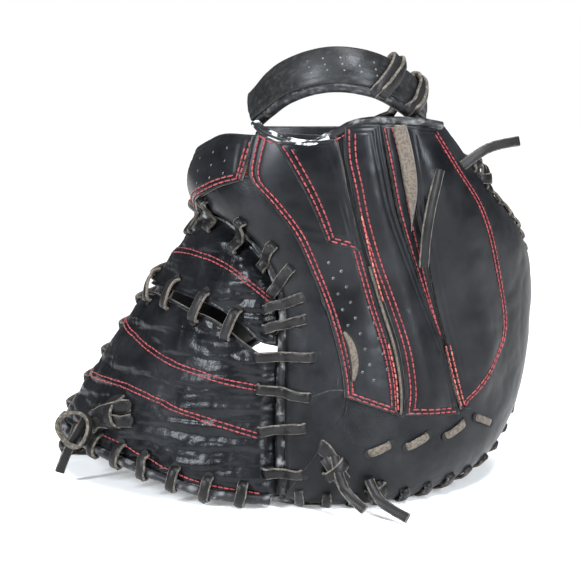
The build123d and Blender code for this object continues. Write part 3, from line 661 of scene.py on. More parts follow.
INDEX_LEFT = [(18, 71), (16, 83), (12, 98), (4, 122), (-6, 146), (-15, 168), (-26, 187), (-33, 199),
              (-31, 214), (-28, 226)]
INDEX_RIGHT = [(47.5, 58), (44.5, 76), (38.5, 98), (29.5, 122), (20.5, 148), (13, 171), (7, 190), (3, 207),
               (0.5, 216), (-1, 224)]
stitched_panel("index_panel", INDEX_LEFT, INDEX_RIGHT, ["index_back_panel", "finger_slit_binding"],
               sides="lrb", extra=index_extras, edge=TAN_EDGE)
stitched_panel(
    "middle_finger_panel", [(50, 58), (49, 74), (43, 98), (33, 124), (22, 150), (13, 175), (7.5, 195),
                            (3, 212), (1, 230)],
    [(84, 55), (77, 75), (70, 94), (56, 122), (41, 154), (30, 180), (22.5, 206), (19, 220), (17, 231)],
    ["middle_back_panel"], sides="lb", puff=0.7)
stitched_panel(
    "ring_finger_panel", [(64.5, 104), (56, 121), (41, 154), (30.5, 180), (23, 206), (18.5, 222),
                          (16.5, 230)],
    [(67.5, 102), (60, 121), (48, 154), (38.5, 180), (31, 206), (26, 222), (23, 231)],
    ["ring_back_panel"], rows=(1.7,), sides="lrb", puff=0.6)
stitched_panel(
    "little_finger_panel", [(86, 57), (79, 76), (71, 98), (62, 121), (50, 154), (40.5, 180), (33, 206),
                            (27, 230)],
    [(88, 59), (106, 84), (114.5, 98), (111, 119), (95, 154), (80, 182), (62, 204), (46, 228)],
    ["little_finger_back_panel"], sides="r", puff=0.8)
pile = Pile()
for line, seed in (([(86.5, 60), (79.5, 78), (72, 98)], 1), ([(84, 60), (77, 78), (69.5, 98)], 2)):
    stitches(pile, curve(line), lambda u, v: hand_back(u, v) + PANEL + 0.6, 0, size=1.15, seed=seed)
for line in ([(46.2, 62), (42.6, 82), (36.5, 102)], [(14, 178), (22, 152), (31, 127)]):
    stitches(pile, curve(line), lambda u, v: hand_back(u, v) + PANEL + 0.6, 0, size=1.1, seed=4)
pile.make("worn_seam_thread", [THREAD_WORN], FINGERS, ())
stitched_panel(
    "finger_hood_patch", [(0, 162), (-4, 173), (-9, 187), (-15, 203), (-21, 220)],
    [(17, 156.5), (12.5, 171), (7, 190), (2.5, 207), (-1.5, 222)],
    ["finger_hood"], sides="lb", rows=(2.0, 4.3), puff=0.4, face=lambda u, v: hand_back(u, v) + PANEL,
    thick=1.2)

# ---- Shell leather under the panels ------------------------------------------------------------


def under_panels(depth):
    return lambda u, v: hand_back(u, v) - LEATHER - depth


def shell_wrinkle(u, v):
    return -0.45 * creases(u / 14, v / 20, 2.0, 5) + 0.5 * (layered_noise(u / 30, v / 30, 2, 1.0) - 0.5)


BACKING_LEFT = [(13, 62), (13, 82), (10, 100), (3, 121), (-5, 143), (-13, 166), (-22, 183), (-29, 204),
                (-28, 229)]
BACKING_RIGHT = [(96, 56), (109, 72), (115, 92), (113, 110), (103, 138), (91, 162), (79, 184), (66, 204),
                 (47, 230)]
pile = Pile()
leather_patch(pile, curve(BACKING_LEFT), curve(BACKING_RIGHT), under_panels(0.5), LEATHER, middle=4,
              under_slot=1)
pile.make("finger_backing", [SHELL_LEATHER, LINING_LEATHER], FINGERS, ["back_lining"])

RIM_INNER = [(-3, 70), (12, 76), (26, 74), (46, 68), (68, 66), (86, 68), (98, 80), (104, 92), (106, 104),
             (102, 122), (93, 142), (81, 166), (70, 186), (56, 206), (40, 228)]
RIM_OUTER = [(-7, 11), (-1, 6), (12, 3.2), (44, 1.6), (85, 4.6), (121, 11.8), (149, 27.6), (168, 52),
             (178, 78), (180, 102), (174, 134), (151.5, 160.5), (118.5, 182.5), (91, 203), (64, 229)]
pile = Pile()
leather_patch(pile, curve(RIM_INNER), curve(RIM_OUTER), under_panels(0.15), LEATHER, texture=shell_wrinkle,
              cut_slot=1)
pile.make("rim_leather", [SHELL_LEATHER, RAW_EDGE], FINGERS, ["rim_back_leather"])


def crotch_wrinkle(u, v):
    return shell_wrinkle(u, v) - 1.0 * creases(u / 22, (v + 0.5 * u) / 34, 12.0, 4)


SHELL_NEAR = [(-5, 12), (-7, 24), (-9.5, 44), (-13, 70), (-14.5, 92), (-17, 116), (-22, 138), (-33, 154),
              (-48, 166), (-65, 173), (-83, 173.5), (-100, 168), (-117, 155), (-134, 135), (-149, 114),
              (-165, 90), (-180, 67), (-190, 51), (-199, 37), (-206, 26)]
SHELL_FAR = [(20, 62), (20, 72), (20, 84), (16, 98), (9, 122), (-1, 146), (-11, 168), (-22, 187), (-34, 200),
             (-56, 203), (-84, 207), (-110, 207.5), (-141, 204), (-166, 194), (-195, 174), (-218, 150),
             (-239, 116), (-255, 84), (-260, 46), (-236, 4)]
pile = Pile()
leather_patch(pile, curve(SHELL_NEAR), curve(SHELL_FAR), under_panels(0.0), LEATHER, texture=crotch_wrinkle,
              cut_slot=1, middle=3, under_slot=2)
across_fold(pile.make("web_side_shell", [SHELL_LEATHER, RAW_EDGE, LINING_LEATHER], None,
                              ["crotch_leather", "thumb_back_leather"]))

ARCH_LOW = [(-36, 197), (-47, 193), (-59, 187), (-75, 180), (-90, 171), (-104, 162), (-116, 156),
            (-128, 145), (-144, 128), (-157, 108), (-170, 88), (-184, 66), (-194, 50)]
ARCH_HIGH = [(-28, 224), (-44, 224), (-58, 217), (-74, 209), (-95, 203.5), (-120, 196), (-140, 186),
             (-165, 172), (-195, 150), (-218, 122), (-234, 92), (-238, 66), (-236, 44)]
stitched_panel(
    "hand_side_panel", ARCH_LOW, ARCH_HIGH, ["thumb_crotch_panel", "thumb_back_panel"], body=None, face=back,
    sides="lb", puff=0.6, edge=TAN_EDGE, extra=air_holes([((-44, 201), 3), ((-52, 198), 3), ((-61, 194), 3)],
                                                         1.5, 7.5))

# ---- Tan welts and the tab ---------------------------------------------------------------------
pile = Pile()
for line, width in (([(48.7, 59), (46.7, 75), (40.7, 98), (31.3, 123), (22, 148)], 1.5),
                    ([(85, 58), (78, 75), (70.5, 97)], 1.3)):
    flat_strip(pile, curve(line), width, lambda u, v: hand_back(u, v) + PANEL * 0.35, 0, 0.5)
pile.make("finger_seam_welts", [TAN_EDGE], FINGERS, ["finger_welts"])

pile = Pile()
TAB = curve([(25, 230), (29, 217), (33, 202), (36.5, 188), (38.5, 177), (39.5, 168)])
flat_strip(pile, TAB, 6.2 * (1 - smooth((np.linspace(0, 1, len(TAB)) - 0.35) / 0.68)) + 0.3,
           lambda u, v: hand_back(u, v) + PANEL + 0.7, 0, 0.6)
pile.make("tan_tab", [TAN_EDGE], FINGERS, ["back_tab"])

# ---- Web ---------------------------------------------------------------------------------------


def web_base(u, v):
    return web_face(u, v) - LEATHER


def web_wrinkle(u, v):
    """Deep creases along the web, from years of closing."""
    bend = 10 * layered_noise(u / 60, v / 40, 2, 3.0)
    deep = creases(u / 45 + 0.3, (v + bend) / 9, 1.0, 3)
    fine = creases(u / 18, (v + bend) / 4.2, 6.0, 3)
    cross = creases(u / 5, (v + 0.4 * u) / 26, 16.0, 4)
    swell = layered_noise(u / 35, (v + bend) / 16, 2, 9.0) - 0.5
    return -1.6 * deep - 0.7 * fine - 0.45 * cross + 4.2 * swell


def web_panel(name, left, right, replaces, stitch_lines):
    pile = Pile()
    leather_patch(pile, curve(left), curve(right), web_base, LEATHER, 1.2, groove=(2.4,), texture=web_wrinkle,
                  cut_slot=1, middle=1.6)
    for line, seed in stitch_lines:
        stitches(pile, curve(line), lambda u, v: web_face(u, v) + 1.25 + web_wrinkle(u, v), 2, seed=seed)
    return across_fold(pile.make(name, [WEB_LEATHER, RAW_EDGE, THREAD_RED], None, replaces))


def double(line, gap=2.6):
    """Two rows of stitches, gap mm apart."""
    line = np.array(line, float)
    return [(line + (0, gap / 2), 1.0), (line - (0, gap / 2), 2.0)]


web_panel(
    "web_upper", [(-126, 126), (-98, 126), (-82, 124), (-66, 121), (-54, 117), (-42, 110.5), (-31, 101),
                  (-20, 97)],
    [(-121, 147), (-101, 164), (-83, 170), (-66, 170), (-51, 163), (-37, 152), (-25, 136), (-20, 122)],
    ["web_upper_panel"], double([(-108, 148), (-96, 150), (-82, 150), (-66, 147.5), (-54, 144), (-45, 139),
                                 (-36, 133), (-27, 125)]))
web_panel(
    "web_lower", [(-190, 33), (-172, 29), (-152, 27), (-140, 25.5), (-125, 23.5), (-104, 20.5), (-80, 15.5),
                  (-56, 10.8), (-38, 8.8), (-9, 7.5)],
    [(-188, 46), (-170, 71), (-150, 96), (-128, 120), (-98, 121), (-75, 116), (-57, 111), (-38, 99),
     (-28, 93), (-17, 90)],
    ["web_lower_panel"],
    double([(-142, 103), (-120, 95), (-102, 89), (-83, 84), (-63, 80), (-46, 76), (-27, 73)])
    + double([(-172, 66), (-130, 66), (-104, 64), (-66, 55), (-45, 50), (-25, 45)])
    + [(np.array([(-160, 37), (-117, 32), (-90, 25), (-56, 15.5), (-20, 11)]), 3.0)])

# ---- Rolled edges ------------------------------------------------------------------------------


def rope_path(line, height, first=0.0, last=None, step=1.5):
    line = along(line, np.arange(first, last or length(line), step))
    return place(line[:, 0], line[:, 1], height)


def roll_until(u):
    """How far along the roll it is to that u."""
    run = np.concatenate([[0], np.cumsum(np.linalg.norm(np.diff(WEB_ROLL, axis=0), axis=1))])
    return float(run[np.argmax(WEB_ROLL[:, 0] < u)])


BEFORE_FOLD, AFTER_FOLD = roll_until(-82), roll_until(-119)
pile = Pile()
tube(pile, rope_path(WEB_ROLL, ROPE_HEIGHT, 0, BEFORE_FOLD), ROPE * 1.12, 18, ripple=0.2, wear=0.4)
ROLL_STITCH = along(WEB_ROLL, np.linspace(8, roll_until(-20), 40)) + (3.2, 0)
stitches(pile, ROLL_STITCH, lambda u, v: ROPE_HEIGHT + ROPE * 0.9 + 0 * u, 1, seed=5)
pile.make("web_edge_rope", [BINDING_LEATHER, THREAD_RED], FINGERS, ["web_edge_roll"])
pile = Pile()
tube(pile, rope_path(WEB_ROLL, ROPE_HEIGHT, BEFORE_FOLD - 3, AFTER_FOLD + 3), ROPE * 1.06, 18, ripple=0.2,
     wear=0.8)
across_fold(pile.make("web_fold_rope", [BINDING_LEATHER], None, ()))
pile = Pile()
tube(pile, rope_path(WEB_ROLL, ROPE_HEIGHT, AFTER_FOLD), ROPE * 1.1, 18, ripple=0.2, wear=0.3)
pile.make("thumb_edge_rope", [BINDING_LEATHER], THUMB, ["thumb_edge_roll"])

WEB_TIP = curve([(-14, 6.9), (-38, 7.9), (-56, 9.9), (-80, 14.9), (-104, 19.9), (-125, 22.9), (-152, 26.5),
                 (-172, 28.5), (-191, 33)])
pile = Pile()
tube(pile, rope_path(WEB_TIP, WEB_HEIGHT - LEATHER / 2), 2.9, ripple=0.16, wear=0.2)
across_fold(pile.make("web_tip_rope", [BINDING_LEATHER], None, ["web_tip_binding"]))

WRIST_EDGE = curve([(-28, 230.5), (-25, 226), (-18, 221.5), (-9, 219.5), (-3, 224), (4, 230), (14, 232.5),
                    (33, 232), (41, 230.5), (47, 229)])
pile = Pile()
WRIST_WORN = 30  # mm of the binding from the web's side that is rubbed white
tube(pile, rope_path(WRIST_EDGE, WRIST_HEIGHT, 0, WRIST_WORN + 1), 2.6, ripple=0.12, wear=2.4)
tube(pile, rope_path(WRIST_EDGE, WRIST_HEIGHT, WRIST_WORN), 2.5, ripple=0.12, wear=0.25)
stitches(pile, WRIST_EDGE[6:-18] - (0, 4.0), lambda u, v: back(u, v) + PANEL + 0.3, 1, seed=8)
pile.make("wrist_edge_binding", [BINDING_LEATHER, THREAD_RED], FINGERS, ["wrist_binding"])
pile = Pile()
tube(pile, rope_path(curve([(-75, 206.5), (-45, 208.5), (-20, 207), (5, 209), (28, 214), (46, 222),
                            (56, 229)]), 1.5),
     2.8, ripple=0.12, wear=0.5)
pile.make("heel_edge_binding", [BINDING_LEATHER], FINGERS, ["heel_binding"])

# ---- Pocket ------------------------------------------------------------------------------------
PALM_PAIRS = [  # from the roll round the web's opening, or the fold, out to the laced edge
    ((-5, 13), (-14, 8)), ((-7, 20), (41, 2.4)), ((-8, 30), (84, 5.6)), ((-9, 38), (120, 13)),
    ((-10, 48), (148, 28)), ((-11, 62), (166, 52)), ((-13, 80), (176, 80)), ((-15, 98), (179, 102)),
    ((-17, 112), (176, 126)), ((-19.5, 126), (163, 148)), ((-26, 140), (139, 167)), ((-34, 152), (112, 182)),
    ((-43, 160), (88, 201)), ((-53, 166.5), (62, 226)), ((-61, 170.5), (40, 213.5)), ((-68, 173), (12, 204)),
    ((-75, 173.5), (-20, 202)), ((-83, 173.5), (-60, 205)), ((-91, 172), (-86, 206)),
    ((-99, 169), (-110, 208)), ((-108, 163), (-140, 203)), ((-118, 154), (-165, 193)),
    ((-131, 138), (-195, 173)), ((-146, 118), (-220, 146)), ((-160, 97), (-239, 114)),
    ((-172, 78), (-254, 80)), ((-180, 66), (-259, 46)), ((-189, 52), (-251, 14)), ((-199, 37), (-235, 3)),
    ((-203, 30), (-216, 12)),
]
FIRST_FOLDED, LAST_FOLDED = 14, 22  # the pairs that bound the palm's piece at the fold


def palm_wrinkle(u, v):
    return (0.5 * creases(u / 26, v / 40, 21.0, 4) + 0.35 * creases(u / 12, v / 12, 24.0, 5)
            + 0.8 * (layered_noise(u / 24, v / 24, 2, 27.0) - 0.5))


def palm_face(u, v):
    return pocket(u, v) + LEATHER


def pad_under(u, v):
    return np.minimum(4.0, back(u, v) - LEATHER - 1.2)


def palm_part(name, first, last, body, replaces):
    inner, outer = zip(*PALM_PAIRS[first:last + 1])
    pile = Pile()
    leather_patch(pile, curve(inner), curve(outer), palm_face, LEATHER, texture=palm_wrinkle, cut_slot=1,
                  middle=4, down=True)
    piece = pile.make(name, [PALM_LEATHER, RAW_EDGE], body, replaces)
    return piece if body else across_fold(piece)


palm_part("palm_of_fingers", 0, FIRST_FOLDED, FINGERS, ["palm_leather_finger_side"])
palm_part("palm_at_fold", FIRST_FOLDED, LAST_FOLDED, None, ())
palm_part("palm_of_thumb", LAST_FOLDED, len(PALM_PAIRS) - 1, THUMB, ["palm_leather_thumb_side"])


def pad(name, first, last, body, replaces):
    """The felt behind the palm leather, a little short of its edges."""
    pairs = np.array(PALM_PAIRS[first:last + 1], float)
    run = unit(pairs[:, 1] - pairs[:, 0])
    inner, outer = pairs[:, 0] + run * 7, pairs[:, 1] - run * 3
    pile = Pile()
    leather_patch(pile, curve(inner), curve(outer), lambda u, v: palm_face(u, v) + 0.5,
                  lambda u, v: pad_under(u, v) - palm_face(u, v) - 0.5, round_edge=5, middle=6)
    piece = pile.make(name, [FELT], body, replaces)
    return piece


pad("finger_felt_pad", 1, FIRST_FOLDED + 2, FINGERS, ["palm_pad_finger_side"])
pad("thumb_felt_pad", LAST_FOLDED, len(PALM_PAIRS) - 2, THUMB, ["palm_pad_thumb_side"])

LINING_LEFT = [(-6, 34), (-6, 48), (-4, 70), (-4, 98), (-8, 118), (-18, 142), (-28, 154), (-42, 165),
               (-58, 172), (-70, 188), (-66, 199)]
LINING_RIGHT = [(84, 20), (132, 40), (158, 62), (165, 98), (160, 130), (140, 156), (118, 172), (100, 182),
                (78, 200), (50, 207), (24, 204)]
pile = Pile()
leather_patch(pile, curve(LINING_LEFT), curve(LINING_RIGHT), lambda u, v: 5.0 + 0 * u, 1.6, middle=6,
              texture=lambda u, v: 0.8 * (layered_noise(u / 18, v / 18, 2, 31.0) - 0.5))
pile.make("palm_lining_leather", [LINING_LEATHER], FINGERS, ["palm_lining"])

# ---- Laces -------------------------------------------------------------------------------------
LACES = [LACE_LEATHER, TAN_EDGE, PAINTED_HOLE_SHADE, RAW_EDGE]


def lace(pile, stations, seed=0.0, width=LACE_WIDTH, holes=(True, True), wobble=0.16, raw=3,
         thick=LACE_THICK):
    """A visible run of lace through stations (u, v, h), into a hole at either end drawn as a disc of painted
    shade.
    """
    stations = np.array(stations, float)
    line = curve(stations, 6)
    middle = place(*stations.mean(axis=0)[:2], stations[[0, -1], 2].mean() - 5)
    points = place(*line.T)
    offs = points - middle
    up = off_leather(*line.T)
    offs = unit(offs) + 1.5 * up
    ribbon(pile, points, offs, width, thick, 0, raw, wobble, seed)
    for wanted, (u, v, h) in zip(holes, stations[[0, -1]]):
        if wanted:
            disc(pile, u, v, h + 1.3, 3.3, 2, lift=0.1)


def rim_lacing(name, edge, first, last, body, replaces, pitch=15.5, slant=3.2, deep=9.0):
    """The lace that whips the rim: over the edge from the back of the hand to the pocket, on a slant."""
    pile = Pile()
    for k, at in enumerate(np.arange(first, length(edge) - last, pitch)):
        centre, ahead = along(edge, [at, at + 1.0])
        run = unit(ahead - centre)
        inward = np.array([run[1], -run[0]])
        reach = deep + 1.5 * (noise(k, 3.0, 2.0) - 0.5)
        stations = []
        for face, side, shares in ((back, 1, (1.0, 0.9, 0.62, 0.34, 0.12)),
                                   (pocket, -1, (0.12, 0.34, 0.62, 0.9, 1.0))):
            for share in shares:
                d = share * reach
                u, v = centre + inward * d + run * slant * side * (share - 0.1)
                lift = -1.2 if share == 1.0 else 1.4
                stations.append((*(np.array([u, v]) - inward * 1.2 * (1 - share)),
                                 float(face(u, v)) + side * lift))
            if side == 1:
                u, v = centre - inward * 2.2
                stations.append((u, v, 0.5))
        line = curve(stations, 4)
        points = place(*line.T)
        middle = place(*(centre + inward * 5), 0.0)
        ribbon(pile, points, points - middle, LACE_WIDTH * 0.95, LACE_THICK, 0, 3, 0.22, k * 1.7)
        # a disc of painted shade at each hole the lace goes through
        for (u, v), face, side in ((centre + inward * reach + run * slant * 0.9, back, 1),
                                   (centre + inward * reach - run * slant * 0.9, pocket, -1)):
            disc(pile, u, v, float(face(u, v)) + side * 0.35, 3.4, 2)
    return pile.make(name, LACES, body, replaces)


rim_lacing("finger_rim_lacing", FINGER_EDGE, 34, 12, FINGERS, ["finger_rim_lace"])
rim_lacing("thumb_rim_lacing", THUMB_EDGE, 14, 34, THUMB, ["thumb_rim_lace"])


def rim_bead(name, edge, first, last, body, replaces):
    """The welt sewn between the two leathers at the laced edge."""
    pile = Pile()
    shares = np.arange(first, length(edge) - last, 2.0)
    line = along(edge, shares)
    tube(pile, place(line[:, 0], line[:, 1], -0.5), 3.0, 12, ripple=0.25, wear=0.4)
    return pile.make(name, [BINDING_LEATHER], body, replaces)


rim_bead("finger_rim_bead", FINGER_EDGE, 6, 3, FINGERS, ["finger_rim_welt", "finger_rim_roll"])
rim_bead("thumb_rim_bead", THUMB_EDGE, 3, 6, THUMB, ["thumb_rim_welt", "thumb_rim_roll"])


pile = Pile()
WRAPS = [(24, 11, 2), (50, 13, 5), (72, 15, -2), (93, 16, 3), (112, 12, 8),
         (124, 11, 9)]  # v, reach and slope
for k, (v, reach, slope) in enumerate(WRAPS):
    u = float(np.interp(v, WEB_ROLL[:60, 1], WEB_ROLL[:60, 0]))
    over = ROPE_HEIGHT + ROPE + 2.0
    lace(pile, [(u - reach, v - slope * 0.5, 9.5), (u - reach + 2, v - slope * 0.4, 14.5),
                (u - 5, v - slope * 0.15, 14), (u + 0.5, v, over + 2),
                (u + 5, v + slope * 0.3, float(back(u + 5, v)) + 1.8),
                (u + reach - 3, v + slope * 0.5, float(back(u + reach - 3, v)) + 1.8),
                (u + reach, v + slope * 0.6, float(back(u + reach, v)) - 1.5)], k * 2.3)
pile.make("web_side_laces", LACES, FINGERS, ["web_finger_lace"])

pile = Pile()
CROSSINGS = [((-73, 164), (-62, 184)), ((-52, 153.5), (-39.5, 173)), ((-34.5, 143), (-24, 160)),
             ((-27, 128), (-15, 147)), ((-92, 160), (-86, 181))]
for k, ((u0, v0), (u1, v1)) in enumerate(CROSSINGS):
    du, dv = u1 - u0, v1 - v0
    low, high = float(web_face(u0, v0)) + 1, float(back(u1, v1))
    lace(pile, [(u0, v0, low - 2), (u0 + 0.08 * du, v0 + 0.08 * dv, low + 2.6),
                (u0 + 0.35 * du, v0 + 0.35 * dv, ROPE_HEIGHT + ROPE + 1.6),
                (u0 + 0.62 * du, v0 + 0.62 * dv, float(back(u0 + 0.62 * du, v0 + 0.62 * dv)) + 2.0),
                (u0 + 0.9 * du, v0 + 0.9 * dv, high + 2.0), (u1, v1, high - 1.5)], k * 3.1, 6.6)
pile.make("web_crotch_laces", LACES, FINGERS, ["web_crotch_lace"])

pile = Pile()
for k, (u, v, lean) in enumerate(((-116, 117, 0), (-96, 115, 4), (-72, 110, 6), (-50, 101, 5))):
    lace(pile, [(u, v, WEB_HEIGHT - 1.5), (u + 0.4, v + 1.5, WEB_HEIGHT + 2.6),
                (u + lean * 0.5, v + 8, WEB_HEIGHT + 4.2), (u + lean, v + 16, WEB_HEIGHT + 3.4),
                (u + lean * 1.1, v + 18, WEB_HEIGHT - 1)], k * 1.9, 6.4, raw=1)
across_fold(pile.make("web_bridge_laces", LACES, None, ["web_bridge_lace"]))

pile = Pile()
for k, at in enumerate(np.arange(16, length(WEB_TIP) - 30, 21)):
    u, v = along(WEB_TIP, [at])[0]
    lean = 3 * (noise(k, 5.0, 5.0) - 0.3)
    lace(pile, [(u + lean, v + 10, WEB_HEIGHT - 1), (u + lean, v + 8.5, WEB_HEIGHT + 3.2),
                (u, v + 3, WEB_HEIGHT + 4.2), (u - 1, v - 1.8, WEB_HEIGHT + 2.6),
                (u - 1.5, v - 4.4, WEB_HEIGHT - 1), (u - 1, v - 2.5, WEB_HEIGHT - 4),
                (u, v + 5, WEB_HEIGHT - 4.5)], k * 2.7, 6.2, holes=(True, False))
across_fold(pile.make("web_tip_laces", LACES, None, ["web_tip_lace"]))

pile = Pile()
for k, at in enumerate(np.arange(AFTER_FOLD + 18, length(WEB_ROLL) - 6, 22)):
    (u, v), (u2, v2) = along(WEB_ROLL, [at, at + 1])
    out_u, out_v = -(v2 - v), u2 - u
    lace(pile, [(u + out_u * d, v + out_v * d, h) for d, h in
                ((9, WEB_HEIGHT - 2), (7.5, WEB_HEIGHT + 3), (3, WEB_HEIGHT + 2.4),
                 (0, ROPE_HEIGHT + ROPE + 2))]
         + [(u + out_u * d, v + out_v * d, float(back(u + out_u * d, v + out_v * d)) + lift) for d, lift in
            ((-5, 2), (-9, 1.6), (-11, -1.5))], k * 1.3)
across_fold(pile.make("web_thumb_laces", LACES, None, ["web_thumb_lace"]))

# the laces that hold the rim down, seen as worn tan dashes
pile = Pile()
for k, ((u0, v0), (u1, v1)) in enumerate((((34, 37), (45, 42)), ((54, 39), (66, 45)),
                                          ((77, 42.5), (89, 49.5)), ((97, 51), (110, 45)))):
    route = [(u0, v0, -1.6), (u0 * 0.85 + u1 * 0.15, v0 * 0.85 + v1 * 0.15, 0.9),
             ((u0 + u1) / 2, (v0 + v1) / 2, 1.2), (u0 * 0.15 + u1 * 0.85, v0 * 0.15 + v1 * 0.85, 0.9),
             (u1, v1, -1.6)]
    stations = [(u, v, float(back(u, v)) + h) for u, v, h in route]
    line = curve(stations, 6)
    ribbon(pile, place(*line.T), off_leather(*line.T), 4.6, 1.8, 1, 3, 0.2, k * 3.3)
    # discs of painted shade where each lace goes into the leather
    for u, v in ((u0, v0), (u1, v1)):
        disc(pile, u, v, float(back(u, v)) + 0.25, 2.9, 2)
pile.make("tie_down_laces", LACES, FINGERS, ["tie_down_lace"])


def knot(pile, centre, heading, size, seed):
    """A flat knot: a band round the two strands that it holds. centre is (u, v, h), heading is (du, dv)."""
    u, v, h = centre
    du, dv = heading
    nu, nv = dv, -du
    for shift, lift in ((-1.6, 0), (1.6, 0.5)):
        lace(pile, [(u + du * t * size + nu * shift, v + dv * t * size + nv * shift, h + lift + bulge)
                    for t, bulge in ((-1.1, -1.5), (-0.6, 0.8), (0, 1.6), (0.6, 0.8), (1.1, -1.2))],
             seed, 5.6, (False, False))
    lace(pile, [(u + nu * t * size + du * lean, v + nv * t * size + dv * lean, h + bulge)
                for t, lean, bulge in ((-0.75, -1.5, -1.5), (-0.62, -1.2, 2.4), (0, 0, 4.4), (0.62, 1.2, 2.4),
                                       (0.75, 1.5, -1.5))], seed + 1, 6.6, (False, False))


pile = Pile()
lace(pile, [(7, 42, 20), (9, 42.5, 24.5), (13, 39, 26), (16, 34.5, 25.5), (18, 31, 22)], 4.0, 8.0,
     (True, False), 0.3)
knot(pile, (18, 29, float(back(18, 29)) + 2.5), (0.55, -0.83), 8, 6.0)
lace(pile, [(22, 27, 21.5), (26, 23, 21), (29, 18, 19), (31, 13, 16), (32, 9, 12)], 9.0, 6.6, (False, False),
     0.3)
pile.make("tie_down_knot_lace", LACES, FINGERS, ["tie_down_knot"])
pile = Pile()
knot(pile, (43, 13, float(back(43, 13)) + 1.5), (0.2, -1.0), 6.5, 8.0)
knot(pile, (90, 196, float(back(90, 196)) + 0.8), (-0.3, -0.95), 7, 3.0)
knot(pile, (82, 205, float(back(82, 205)) + 1.0), (0.7, 0.7), 6, 5.0)
pile.make("rim_knots", LACES, FINGERS, ())

# ring of lace on the web, and the knot that holds it
RING = 12
ring_middle = place(-133, 38, WEB_HEIGHT + 5) + np.array([-RING, -2, 0]) * MM
ring_axis = unit(np.array([-0.35, -0.93, 0.1]))
ring_side = unit(np.cross(ring_axis, [0, 0, 1]))
ring_up = np.cross(ring_side, ring_axis)
turn = np.linspace(0, 2 * pi, 49)
wave = 1 + 0.05 * np.sin(3 * turn + 1)
radial = np.cos(turn)[:, None] * ring_side + np.sin(turn)[:, None] * ring_up
pile = Pile()
ribbon(pile, ring_middle + radial * (RING - 1) * MM * wave[:, None]
       + ring_axis * (1.2 * np.sin(2 * turn))[:, None] * MM, radial, 6.0, 2.2, 0, 3, 0.0, 2.0)
pile.make("web_ring", LACES, FINGERS, ["web_ring_loop"])
pile = Pile()
lace(pile, [(-140, 41, 15), (-134, 45, 18.5), (-126, 49, 19.5), (-116, 53, 18), (-109, 55, 13.5)], 2.0, 8.4,
     (False, True), 0.3)
lace(pile, [(-137, 36, 15), (-131, 41, 18), (-122, 44, 18), (-112, 45.5, 16.5), (-107, 46, 12)], 5.0, 8.0,
     (False, True), 0.3)
lace(pile, [(-117, 39, 12), (-118, 43, 19), (-119, 49, 21.5), (-120, 55, 19), (-120, 59, 12)], 7.0, 8.4,
     (False, False), 0.2)
pile.make("web_ring_knot_lace", LACES, FINGERS, ["web_ring_knot"])

# ---- Wrist strap -------------------------------------------------------------------------------
STRAP_MIDDLE = [(-22, 26, 239.5), (-3, 3, 256), (22, -12, 263.5), (48, -10, 260.5), (68, 8, 250),
                (79, 32, 240)]
STRAP_WIDTH, STRAP_THICK, STRAP_HOLE = 23, 2.6, 0.6  # a hole's radius
STRAP_LEAN = [0, 0.40, 0.92]  # the way the strap's width runs
strap_line = evenly((curve(STRAP_MIDDLE, 16) - ORIGIN) * MM, 0.0015)
strap_run = unit(np.gradient(strap_line, axis=0))
strap_across = unit(np.array(STRAP_LEAN) - strap_run * (strap_run @ STRAP_LEAN)[:, None])
strap_off = np.cross(strap_run, strap_across)
strap_off *= np.sign((strap_off[len(strap_off) // 2] @ [0, -1, 0.2]))


def strap_point(share, across, off):
    """A point of the strap: share along it, mm across it, and mm off the leather's underside."""
    at = np.clip(np.asarray(share, float), 0, 1) * (len(strap_line) - 1)
    middle, sideways, outward = (np.stack([np.interp(at, np.arange(len(a)), a[:, k]) for k in range(3)], -1)
                                 for a in (strap_line, strap_across, strap_off))
    return middle + (sideways * np.asarray(across)[..., None] + outward * np.asarray(off)[..., None]) * MM


def strap_skin(pile, outline, slot, narrow=0.0, wear_edge=0.0):
    """A skin along the strap with that closed outline (across, off); narrow pinches the ends."""
    outline = np.array(outline, float)
    count = len(strap_line)
    share = np.linspace(0, 1, count)
    pinch = 1 - narrow * (1 - smooth(np.minimum(share, 1 - share) / 0.16))
    across = outline[None, :, 0] * pinch[:, None]
    ripple = 0.35 * (layered_noise(share[:, None] * 30, outline[None, :, 0] / 5, 3, 41.0) - 0.5)
    verts = strap_point(np.repeat(share[:, None], len(outline), 1), across, outline[None, :, 1] + ripple)
    worn = wear_edge * smooth((layered_noise(share[:, None] * 60, outline[None, :, 0], 2, 43.0) - 0.5) * 5)
    pile.add(verts.reshape(-1, 3), grid_faces(count, len(outline), ring=True), slot, worn.ravel())
    for row in (0, count - 1):
        pile.add(verts[row], cap_faces(np.arange(len(outline))), slot)


half = STRAP_WIDTH / 2
outer = [(a, STRAP_THICK + 1.6 * (1 - (a / half) ** 2) - 0.5 * np.exp(-((a + half - 5) / 0.8) ** 2))
         for a in np.linspace(-half + 0.3, half - 0.8, 18)]
pile = Pile()
strap_skin(pile, outer + [(half, 1.6), (half, 0.6)] + [(a, 0.1) for a in np.linspace(half - 0.8, -half, 18)]
           + [(-half, 1.2), (-half, 2.0)], 0, 0.15, 0.4)
HOLE_SHARES, HOLE_ACROSS = (0.36, 0.42, 0.48, 0.54, 0.60, 0.66), (3.5, -0.5, -4)
for k, (share, across) in enumerate([(s, a) for a in HOLE_ACROSS for s in HOLE_SHARES]):
    off = STRAP_THICK + 1.55 * (1 - (across / half) ** 2) + 0.08
    centre = strap_point(share + 0.008 * (k // len(HOLE_SHARES)), across, off)
    near = unit(strap_point(share + 0.02, across, off) - centre)
    up = unit(strap_point(share, across + 1, STRAP_THICK) - strap_point(share, across, STRAP_THICK))
    angle = np.arange(10) * 2 * pi / 10
    pile.add(centre + (np.cos(angle)[:, None] * near + np.sin(angle)[:, None] * up) * STRAP_HOLE * MM,
             cap_faces(np.arange(10)), 1)
pile.make("wrist_strap_leather", [STRAP_LEATHER, HOLE_GREY], STRAP, ["wrist_strap"])
pile = Pile()
angles = np.linspace(0, 2 * pi, 17)[:-1]
